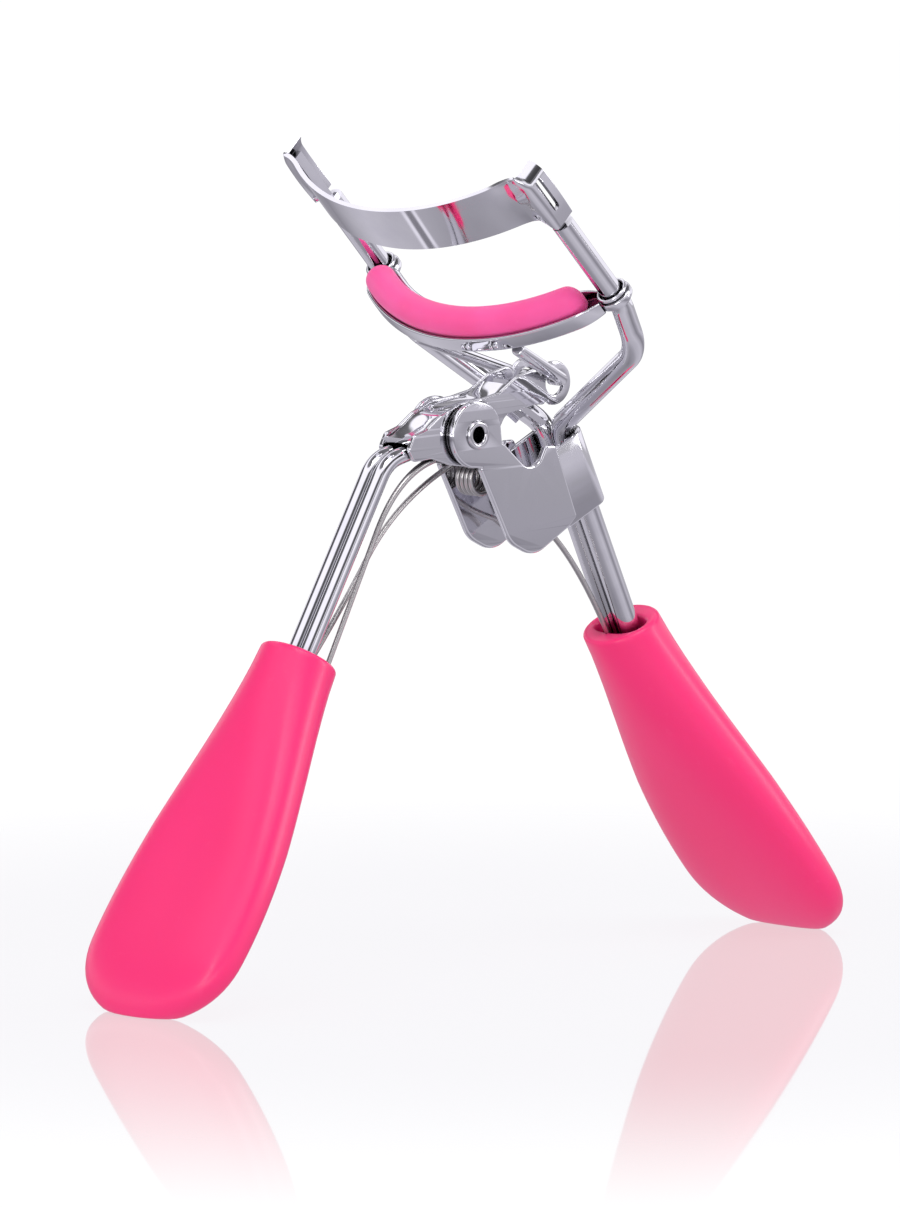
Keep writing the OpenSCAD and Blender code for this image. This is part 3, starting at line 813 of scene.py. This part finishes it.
# lever wires
leverWire = dict(radius=0.9, y=0.92, end=(-3.4, -0.47), bend=4.0, inGrip=11.0)


def makeLeverWire(sign, name, node):
    w = leverWire
    y = sign * w["y"]
    bendAt = sidePoint(*layout["leverBend"], y)
    foot = bendAt + leverDown * ((layout["leverGripAt"] + w["inGrip"]) * mm)
    path = bentPath([sidePoint(*w["end"], y), bendAt, foot], [w["bend"] * mm])
    piece = roundWire(name, path, w["radius"] * mm, chromeWire)
    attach(piece, "lever")
    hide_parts(node)


makeLeverWire(-1, "leverWireNear", "lever_wire_near")
makeLeverWire(1, "leverWireFar", "lever_wire_far")
print("lever wires bent")


# grips: glossy mouldings over the wire ends
grip = dict(length=43.5, neck=4.3, width=10.5, widestAt=0.8, mouth=2.0, mouthDeep=2.6, rim=0.55, rows=46,
            sides=56, square=0.27, dish=0.55, tableEase=0.35)


def gripHalfWidth(t):
    w = grip
    widest = w["widestAt"]
    if t < widest:
        return w["neck"] + (w["width"] - w["neck"]) * math.sin(math.pi / 2 * t / widest) ** 1.35
    return w["width"] * max(1 - ((t - widest) / (1 - widest)) ** 2.2, 0) ** 0.5


def gripHalfThick(t):
    return (grip["neck"] - 0.1 - 1.15 * t) * max(1 - t ** 9, 0) ** 0.5


def makeGrip(name, node, body, neckAt, down, outward, sweepOut, curl, wireY):
    w = grip
    rows, sides = w["rows"], w["sides"]
    verts, faces = [], []
    rings = []
    # mouth first: from its floor up to the rim, then over the rim and down the outside
    mouthHalfY = wireY + w["mouth"]
    deep = w["mouthDeep"]
    for depth, grow in ((deep, -0.15), (deep * 0.5, 0.0), (0.5, 0.0), (0.15, 0.1), (0.0, 0.35)):
        ring = []
        for k in range(sides):
            a = 2 * math.pi * k / sides
            c, s = math.cos(a), math.sin(a)
            x = (w["mouth"] - 0.1 + grow) * math.copysign(abs(c) ** 0.8, c)
            y = (mouthHalfY + grow) * math.copysign(abs(s) ** 0.8, s)
            ring.append((x, y, depth))
        rings.append(ring)
    for i in range(rows + 1):
        if i < 6:
            a = math.pi / 2 * i / 6
            z = w["rim"] * (1 - math.cos(a))
            inset = w["rim"] * (1 - math.sin(a))
            t = z / w["length"]
        else:
            u = (i - 6) / (rows - 6)
            t0 = (w["rim"] + 0.3) / w["length"]
            t = min(t0 + (1 - t0) * (1 - (1 - u) ** 1.7), 0.9992)
            z = t * w["length"]
            inset = 0.0
        halfY = gripHalfWidth(t) - inset
        halfX = gripHalfThick(t) - inset
        mid = sweepOut * z + curl * z * z
        # sections go from round at the neck to a soft rounded slab, dished on the outer face
        power = 1.0 - w["square"] * min(1.0, max(0.0, (t - 0.05) / 0.45))
        dish = w["dish"] * math.sin(math.pi * min(1.0, max(0.0, (t - 0.18) / 0.78))) ** 1.3
        ring = []
        for k in range(sides):
            a = 2 * math.pi * k / sides
            c, s = math.cos(a), math.sin(a)
            x = halfX * math.copysign(abs(c) ** power, c)
            y = halfY * math.copysign(abs(s) ** power, s)
            if c > 0:
                x -= dish * max(0.0, 1 - (y / max(halfY * 0.82, 1e-3)) ** 2)
            ring.append((mid + x, y, z))
        rings.append(ring)
    for ring in rings:
        verts += [neckAt + (outward * x + acrossJaws * y + down * z) * mm for x, y, z in ring]
    n = len(rings)
    for i in range(n - 1):
        for k in range(sides):
            k2 = (k + 1) % sides
            faces.append((i * sides + k, i * sides + k2, (i + 1) * sides + k2, (i + 1) * sides + k))
    faces.append(tuple(range(sides))[::-1])
    faces.append(tuple((n - 1) * sides + k for k in range(sides)))
    # the tip eases flat where it stands on the table
    ease = w["tableEase"] * mm
    for p in verts:
        if p.z < ease:
            p.z = ease * math.exp(-(ease - p.z) / ease)
    piece = newPiece(name, verts, faces, pinkGrip, 180)
    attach(piece, body)
    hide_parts(node)


frameNeck = sidePoint(*layout["sleeveTop"]) + frameDown * (layout["frameGripAt"] * mm)
leverNeck = sidePoint(*layout["leverBend"]) + leverDown * (layout["leverGripAt"] * mm)
makeGrip("frameGrip", "frame_grip", "frame", frameNeck, frameDown, Vector((-frameDown.z, 0, frameDown.x)),
         0.16, 0.0013, frameWire["y"])
makeGrip("leverGrip", "lever_grip", "lever", leverNeck, leverDown, Vector((leverDown.z, 0, -leverDown.x)),
         0.0, 0.0012, leverWire["y"])
print("grips moulded")


# lower jaw: rolled channel that ends in an eyelet round each post
lowerJaw = dict(centre=18.0, inner=23.3, outer=27.5, wall=0.5, floor=0.7, height=2.0, corner=0.45,
                endY=16.6, narrowFrom=0.84, narrow=0.42, lower=0.35)


def channelSection(w):
    # section in (across, up), closed, with rounded outer corners and wall tops
    half = (w["outer"] - w["inner"]) / 2
    inside = half - w["wall"]
    top = w["wall"] * 0.49
    right = [(half, 0, w["corner"]), (half, w["height"], top), (inside, w["height"], top),
             (inside, w["floor"], 0.2)]
    left = [(-u, v, r) for u, v, r in right[::-1]]
    return roundedLoop(left[-1:] + right + left[:-1], 4)


def makeLowerJaw():
    w = lowerJaw
    mid = (w["inner"] + w["outer"]) / 2
    aEnd = math.asin(w["endY"] / mid)
    section = channelSection(w)
    steps = 72
    verts, faces = [], []
    n = len(section)
    for i in range(steps + 1):
        a = -aEnd + 2 * aEnd * i / steps
        # the walls draw in towards the eyelets at both ends
        q = max(0.0, (abs(a) / aEnd - w["narrowFrom"]) / (1 - w["narrowFrom"]))
        shrink = 1 - w["narrow"] * q * q
        drop = 1 - w["lower"] * q * q
        for u, v in section:
            r = mid + u * shrink
            s = v if v < w["floor"] + 0.01 else w["floor"] + (v - w["floor"]) * drop
            verts.append(jawPoint(w["centre"] - r * math.cos(a), r * math.sin(a), s))
    for i in range(steps):
        for k in range(n):
            k2 = (k + 1) % n
            faces.append((i * n + k, i * n + k2, (i + 1) * n + k2, (i + 1) * n + k))
    faces.append(tuple(range(n))[::-1])
    faces.append(tuple(steps * n + k for k in range(n)))
    channel = newPiece("channel", verts, faces, chromeSheet, 60)
    lug = roundedLoop([(1.5, 0.1, 0.1), (1.95, 0.1, 0.25), (1.95, 0.95, 0.25), (1.5, 0.95, 0.1)], 4)
    lugs = []
    for sign in (-1, 1):
        seat = jawPoint(0, sign * layout["postY"], 0)
        lugs.append(lathe(f"lug{sign}", lug, seat, postUp, chromeSheet, 48, 60))
    piece = joinPieces("lowerJawChannel", [channel] + lugs)
    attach(piece, "lower_jaw")
    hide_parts("lower_jaw")


def makeEyelet(sign, name, node):
    loop = roundedLoop([(1.28, -0.25, 0.08), (1.55, -0.25, 0.12), (1.55, 1.05, 0.15), (1.78, 1.22, 0.14),
                        (1.74, 1.5, 0.14), (1.45, 1.52, 0.14), (1.28, 1.15, 0.2)], 5)
    piece = lathe(name, loop, jawPoint(0, sign * layout["postY"], 0), postUp, chromeSheet, 56, 60)
    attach(piece, "lower_jaw")
    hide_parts(node)


makeLowerJaw()
makeEyelet(-1, "eyeletNear", "eyelet_near")
makeEyelet(1, "eyeletFar", "eyelet_far")
print("lower jaw rolled")


# lash pad: soft moulded strip with full round ends
lashPad = dict(width=3.35, top=4.25, bottom=0.76, endY=15.6, seatWidth=2.9, waist=1.9)


def makeLashPad():
    w = lashPad
    mid = (lowerJaw["inner"] + lowerJaw["outer"]) / 2
    aEnd = math.asin(w["endY"] / mid)
    crown = w["width"] / 2
    # section: straight sides down into the channel, a full crown above it
    angles = [math.pi * k / 16 for k in range(17)]
    section = [(crown * math.cos(a), w["top"] - crown + crown * math.sin(a)) for a in angles]
    seat, waist, bottom = w["seatWidth"] / 2, w["waist"], w["bottom"]
    foot = [(seat - 0.2, bottom), (seat, bottom + 0.2), (seat, waist), (crown, 2.25)]
    section += [(-u, v) for u, v in foot[::-1]] + foot
    n = len(section)
    # stations along the pad: distance from its end, and how full the section is there
    length = 2 * aEnd * mid
    cap = crown * 1.05
    quarter = [math.pi / 2 * k / 8 for k in range(9)]
    ends = [(cap * (1 - math.cos(a)), max(0.02, math.sin(a))) for a in quarter]
    stations = ends + [(cap + (length - 2 * cap) * k / 60, 1.0) for k in range(1, 60)]
    stations += [(length - d, f) for d, f in ends[::-1]]
    verts, faces = [], []
    for d, f in stations:
        a = -aEnd + d / mid
        for u, v in section:
            s = waist + (v - waist) * (f if v > waist else 0.35 + 0.65 * f)
            r = mid + u * f
            verts.append(jawPoint(lowerJaw["centre"] - r * math.cos(a), r * math.sin(a), s))
    for i in range(len(stations) - 1):
        for k in range(n):
            k2 = (k + 1) % n
            faces.append((i * n + k, i * n + k2, (i + 1) * n + k2, (i + 1) * n + k))
    faces.append(tuple(range(n))[::-1])
    faces.append(tuple((len(stations) - 1) * n + k for k in range(n)))
    piece = newPiece("lashPad", verts, faces, pinkPad, 180)
    soft = piece.modifiers.new("soft", "SUBSURF")
    soft.levels = soft.render_levels = 1
    settle(piece)
    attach(piece, "lower_jaw")
    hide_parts("lash_pad")


makeLashPad()
print("pad moulded")


# link wires: from under the lower jaw to the rocker's ear
linkWire = dict(radius=0.68, rootOut=7.6, rootY=7.6, bend=0.95, sidePlay=0.12, hookReach=0.6)


def makeLinkWire(sign, name, node):
    w = linkWire
    hx, hz = layout["linkHole"]
    hook = sidePoint(hx, hz) + postOut * (layout["hookOffset"] * mm)
    outerY = rocker["outer"] + w["sidePlay"] + w["radius"]
    innerY = rocker["inner"] - w["hookReach"]
    root = jawSeat - postUp * (1.02 * w["radius"] * mm) - postOut * (w["rootOut"] * mm)
    corners = [root + acrossJaws * (sign * w["rootY"] * mm), hook + acrossJaws * (sign * outerY * mm),
               hook + acrossJaws * (sign * innerY * mm)]
    path = bentPath(corners, [w["bend"] * mm], 0.15 * mm)
    piece = roundWire(name, path, w["radius"] * mm, chromeWire, Vector((0.3, 0.2, 1)))
    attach(piece, "lower_jaw")
    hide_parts(node)


makeLinkWire(-1, "linkWireNear", "link_wire_near")
makeLinkWire(1, "linkWireFar", "link_wire_far")
print("link wires hooked")


# torsion spring: one wire from the moving grip, round its coil, to the fixed grip
spring = dict(radius=0.3, coilAt=(3.0, -5.1), coilR=1.65, turns=4.25, pitch=0.648, step=9)


def quadCurve(start, pull, end, steps):
    a, b, c = Vector(start), Vector(pull), Vector(end)
    spots = [k / steps for k in range(steps + 1)]
    return [(1 - t) ** 2 * a + 2 * t * (1 - t) * b + t * t * c for t in spots]


def makeSpring():
    w = spring
    cx, cz = w["coilAt"]
    width = w["turns"] * w["pitch"]
    r = w["coilR"]
    leverMid, frameMid = (-13.3, 0.28, -13.4), (12.0, -0.9, -10.8)
    leverLeg = quadCurve((-21.9, 0.0, -23.4), (-17.4, 0.0, -18.4), leverMid, 14)[:-1]
    leverLeg += quadCurve(leverMid, (-8.0, 0.8, -6.4), (cx - 0.9, width / 2, cz + r * 1.12), 26)[:-1]
    coil = []
    for k in range(int(360 * w["turns"] / w["step"]) + 1):
        a = math.radians(k * w["step"])
        y = width / 2 - w["pitch"] * k * w["step"] / 360
        coil.append(Vector((cx + r * math.sin(a), y, cz + r * math.cos(a))))
    coilEnd = coil[-1] + Vector((0.02, 0, -0.5))
    frameLeg = quadCurve(coilEnd, (5.4, -width / 2, -8.6), frameMid, 18)
    frameLeg += quadCurve(frameMid, (17.4, -0.5, -14.6), (23.2, 0.0, -24.4), 22)[1:]
    path = [pivot + p * mm for p in leverLeg + coil + frameLeg]
    piece = roundWire("torsionSpring", path, w["radius"] * mm, springSteel, Vector((0.1, 1, 0.2)), 14)
    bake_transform(piece)
    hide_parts("spring_coil", "spring_lever_leg")


def makeAnchorStrand():
    # the return strand hooked under the rocker, thicker at its hooked end
    middle = (-12.6, -1.0, -9.9)
    path = quadCurve((-4.2, -1.1, -2.5), (-9.6, -1.3, -3.6), middle, 22)[:-1]
    path += quadCurve(middle, (-15.4, -0.9, -15.4), (-19.4, -0.9, -22.9), 22)
    path = [pivot + p * mm for p in path]
    last = len(path) - 1
    sections = [wireSection((0.42 - 0.12 * min(1.0, i / last * 2)) * mm, 14) for i in range(last + 1)]
    verts, faces = sweep(path, Vector((0.1, 1, 0.2)), sections)
    piece = newPiece("springStrand", verts, faces, springSteel)
    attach(piece, "lever")
    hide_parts("spring_anchor_leg")


makeSpring()
makeAnchorStrand()
print("spring wound")


# studio: pale glossy floor, soft light, camera
studio = dict(floorSize=9.0, mirror=0.42, fadeFrom=0.06, fadeTo=0.19, glow=0.96, shade=0.08, bounce=0.85)


def makeFloor():
    w = studio
    s = w["floorSize"]
    mesh = bpy.data.meshes.new("floor")
    cells = 24
    row = cells + 1
    spots = [-s + 2 * s * i / cells for i in range(row)]
    corners = [i * row + k for i in range(cells) for k in range(cells)]
    mesh.from_pydata([(x, y, 0) for x in spots for y in spots], [],
                     [(at, at + row, at + row + 1, at + 1) for at in corners])
    floor = bpy.data.objects.new("floor", mesh)
    bpy.context.scene.collection.objects.link(floor)
    mat = bpy.data.materials.new("paleFloor")
    mat.use_nodes = True
    tree = mat.node_tree
    tree.nodes.remove(tree.nodes["Principled BSDF"])
    out = tree.nodes["Material Output"]
    coords = tree.nodes.new("ShaderNodeTexCoord").outputs["Object"]
    length = tree.nodes.new("ShaderNodeVectorMath")
    length.operation = "LENGTH"
    tree.links.new(coords, length.inputs[0])
    span = tree.nodes.new("ShaderNodeMapRange")
    span.interpolation_type = "SMOOTHSTEP"
    tree.links.new(length.outputs["Value"], span.inputs["Value"])
    for label, value in (("From Min", w["fadeFrom"]), ("From Max", w["fadeTo"]),
                         ("To Min", w["mirror"]), ("To Max", 0.0)):
        span.inputs[label].default_value = value
    diffuse = tree.nodes.new("ShaderNodeBsdfDiffuse")
    diffuse.inputs["Color"].default_value = (w["shade"], w["shade"], w["shade"], 1)
    glow = tree.nodes.new("ShaderNodeEmission")
    glow.inputs["Strength"].default_value = w["glow"]
    lit = tree.nodes.new("ShaderNodeAddShader")
    tree.links.new(diffuse.outputs[0], lit.inputs[0])
    tree.links.new(glow.outputs[0], lit.inputs[1])
    gloss = tree.nodes.new("ShaderNodeBsdfGlossy")
    gloss.inputs["Roughness"].default_value = 0.03
    seen = tree.nodes.new("ShaderNodeMixShader")
    # a polished table mirrors less when it is looked at from higher up
    facing = tree.nodes.new("ShaderNodeLayerWeight")
    facing.inputs["Blend"].default_value = 0.5
    graze = tree.nodes.new("ShaderNodeMapRange")
    tree.links.new(facing.outputs["Facing"], graze.inputs["Value"])
    for label, value in (("From Min", 0.6), ("From Max", 0.83), ("To Min", 0.12), ("To Max", 1.0)):
        graze.inputs[label].default_value = value
    polish = mathNode(tree, "MULTIPLY", span.outputs["Result"], graze.outputs["Result"])
    tree.links.new(polish, seen.inputs[0])
    tree.links.new(lit.outputs[0], seen.inputs[1])
    tree.links.new(gloss.outputs[0], seen.inputs[2])
    # painted reflection: what the plating mirrors of the table is a glow seen only by reflected rays,
    # greyer, darkest under the mechanism as painted shadow, in painted soft rings, with painted bright and
    # dark bands behind like a card's edge
    rings = rampNode(tree, length.outputs["Value"], [(0.0, 0.16), (0.03, 0.3), (0.05, 0.5), (0.1, 0.62),
                                                     (0.22, 0.2), (0.42, 0.36), (0.7, 0.55), (1.0, 0.62)])
    parts = tree.nodes.new("ShaderNodeSeparateXYZ")
    tree.links.new(coords, parts.inputs[0])
    along = mathNode(tree, "ADD", mathNode(tree, "MULTIPLY", parts.outputs["Y"], 5.0), 0.5)
    # painted highlight bands: bright, dark, bright across the table where no card stands
    paintedBands = rampNode(tree, along, [(0.664, 1.0), (0.672, 2.2), (0.68, 2.2), (0.688, 0.35), (0.712, 0.35),
                                  (0.72, 2.0), (0.728, 2.0), (0.74, 1.0)])
    mottle = noiseNode(tree, coords, 14.0, 3.0, 0.6)
    tone = mixColour(tree, 1.0, rings, paintedBands, "MULTIPLY")
    tone = mixColour(tree, mathNode(tree, "MULTIPLY", mottle, 0.5), tone, (0.5, 0.49, 0.54, 1))
    # painted reflection: this glow is what the plating mirrors in place of the lit table
    paintedReflection = tree.nodes.new("ShaderNodeEmission")
    tree.links.new(mixColour(tree, 1.0, tone, (1.0, 0.975, 1.06, 1), "MULTIPLY"), paintedReflection.inputs["Color"])
    bounced = tree.nodes.new("ShaderNodeEmission")
    bounced.inputs["Strength"].default_value = w["bounce"]
    path = tree.nodes.new("ShaderNodeLightPath")
    soft = tree.nodes.new("ShaderNodeMixShader")
    tree.links.new(path.outputs["Is Diffuse Ray"], soft.inputs[0])
    tree.links.new(paintedReflection.outputs[0], soft.inputs[1])
    tree.links.new(bounced.outputs[0], soft.inputs[2])
    mix = tree.nodes.new("ShaderNodeMixShader")
    tree.links.new(path.outputs["Is Camera Ray"], mix.inputs[0])
    tree.links.new(soft.outputs[0], mix.inputs[1])
    tree.links.new(seen.outputs[0], mix.inputs[2])
    tree.links.new(mix.outputs[0], out.inputs["Surface"])
    mesh.materials.append(mat)


lamps = dict(  # place, target, size, power
    topBox=((-0.1, -0.3, 0.75), (0, 0, 0.04), (0.4, 0.4), 1.4),
    leftBox=((-0.75, -0.25, 0.35), (0, 0, 0.05), (0.12, 0.5), 0.9),
    rightBox=((0.6, -0.55, 0.3), (0, 0, 0.05), (0.12, 0.5), 0.9),
    frontFill=((-0.55, -0.5, 0.02), (0.03, 0, 0.03), (0.5, 0.12), 0.55))


def makeLight(name, place, target, size, power):
    light = bpy.data.lights.new(name, "AREA")
    light.shape = "RECTANGLE"
    light.size, light.size_y = size
    light.energy = power
    holder = bpy.data.objects.new(name, light)
    holder.location = place
    holder.rotation_euler = (Vector(target) - Vector(place)).to_track_quat("-Z", "Y").to_euler()
    bpy.context.scene.collection.objects.link(holder)


def makeWorld():
    world = bpy.data.worlds.new("studioLight")
    bpy.context.scene.world = world
    world.use_nodes = True
    tree = world.node_tree
    background = tree.nodes["Background"]
    out = tree.nodes["World Output"]
    coords = tree.nodes.new("ShaderNodeTexCoord").outputs["Generated"]
    parts = tree.nodes.new("ShaderNodeSeparateXYZ")
    tree.links.new(coords, parts.inputs[0])
    # soft tone by height, with a few darker flags standing round the table
    rise = mathNode(tree, "ADD", mathNode(tree, "MULTIPLY", parts.outputs["Z"], 0.5), 0.5)
    height = rampNode(tree, rise, [(0.0, 0.3), (0.5, 0.5), (0.53, 0.5), (0.535, 1.0), (0.645, 1.0),
                                   (0.65, 0.22), (0.69, 0.4), (0.72, 0.1), (0.8, 0.16), (0.82, 1.15),
                                   (0.9, 1.15), (0.92, 0.25), (1.0, 0.12)])
    turn = mathNode(tree, "ARCTAN2", parts.outputs["Y"], parts.outputs["X"])
    turn = mathNode(tree, "ADD", mathNode(tree, "DIVIDE", turn, 2 * math.pi), 0.5)
    flags = rampNode(tree, turn, [(0.0, 0.8), (0.05, 0.8), (0.06, 0.12), (0.1, 0.12), (0.11, 0.9),
                                  (0.19, 0.75), (0.2, 2.6), (0.225, 2.6), (0.235, 0.5), (0.33, 0.6),
                                  (0.34, 0.1), (0.37, 0.1), (0.38, 2.2), (0.43, 2.2), (0.44, 0.5),
                                  (0.55, 0.7), (0.56, 0.15), (0.6, 0.15), (0.61, 1.2), (0.7, 0.9),
                                  (0.71, 2.4), (0.74, 2.4), (0.75, 0.2), (0.8, 0.3), (0.81, 1.1),
                                  (0.92, 0.9), (0.93, 1.9), (0.96, 1.9), (0.97, 0.8)])
    # the flags stand round the table and stop below the overhead box
    lift = rampNode(tree, parts.outputs["Z"], [(0.29, 0.0), (0.31, 1.0), (0.52, 1.0), (0.62, 0.0)])
    shade = mixColour(tree, lift, (1, 1, 1, 1), flags)
    tone = mixColour(tree, 1.0, height, shade, "MULTIPLY")
    tree.links.new(mixColour(tree, 1.0, tone, (1.0, 0.98, 1.05, 1), "MULTIPLY"), background.inputs["Color"])
    white = tree.nodes.new("ShaderNodeBackground")
    white.inputs["Color"].default_value = (1, 1, 1, 1)
    dome = tree.nodes.new("ShaderNodeBackground")
    dome.inputs["Color"].default_value = (0.82, 0.82, 0.84, 1)
    path = tree.nodes.new("ShaderNodeLightPath")
    soft = tree.nodes.new("ShaderNodeMixShader")
    tree.links.new(path.outputs["Is Diffuse Ray"], soft.inputs[0])
    tree.links.new(background.outputs[0], soft.inputs[1])
    tree.links.new(dome.outputs[0], soft.inputs[2])
    mix = tree.nodes.new("ShaderNodeMixShader")
    tree.links.new(path.outputs["Is Camera Ray"], mix.inputs[0])
    tree.links.new(soft.outputs[0], mix.inputs[1])
    tree.links.new(white.outputs[0], mix.inputs[2])
    tree.links.new(mix.outputs[0], out.inputs["Surface"])


view = dict(azimuth=-44.01, elevation=7.281, aim=(-0.685, -18.25), distance=2.2446, lens=849.7)


def makeCamera():
    azimuth, elevation = math.radians(view["azimuth"]), math.radians(view["elevation"])
    target = sidePoint(*view["aim"])
    level = math.cos(elevation)
    away = Vector((math.sin(azimuth) * level, -math.cos(azimuth) * level, math.sin(elevation)))
    data = bpy.data.cameras.new("camera")
    data.sensor_fit = "HORIZONTAL"
    data.sensor_width = 36
    data.lens = view["lens"]
    data.clip_start, data.clip_end = 0.1, 60
    camera = bpy.data.objects.new("camera", data)
    camera.location = target + away * view["distance"]
    camera.rotation_euler = (target - camera.location).to_track_quat("-Z", "Y").to_euler()
    bpy.context.scene.collection.objects.link(camera)
    bpy.context.scene.camera = camera


makeFloor()
makeWorld()
for lamp, values in lamps.items():
    makeLight(lamp, *values)
makeCamera()
bpy.context.scene.view_settings.view_transform = "Standard"
print("studio lit")
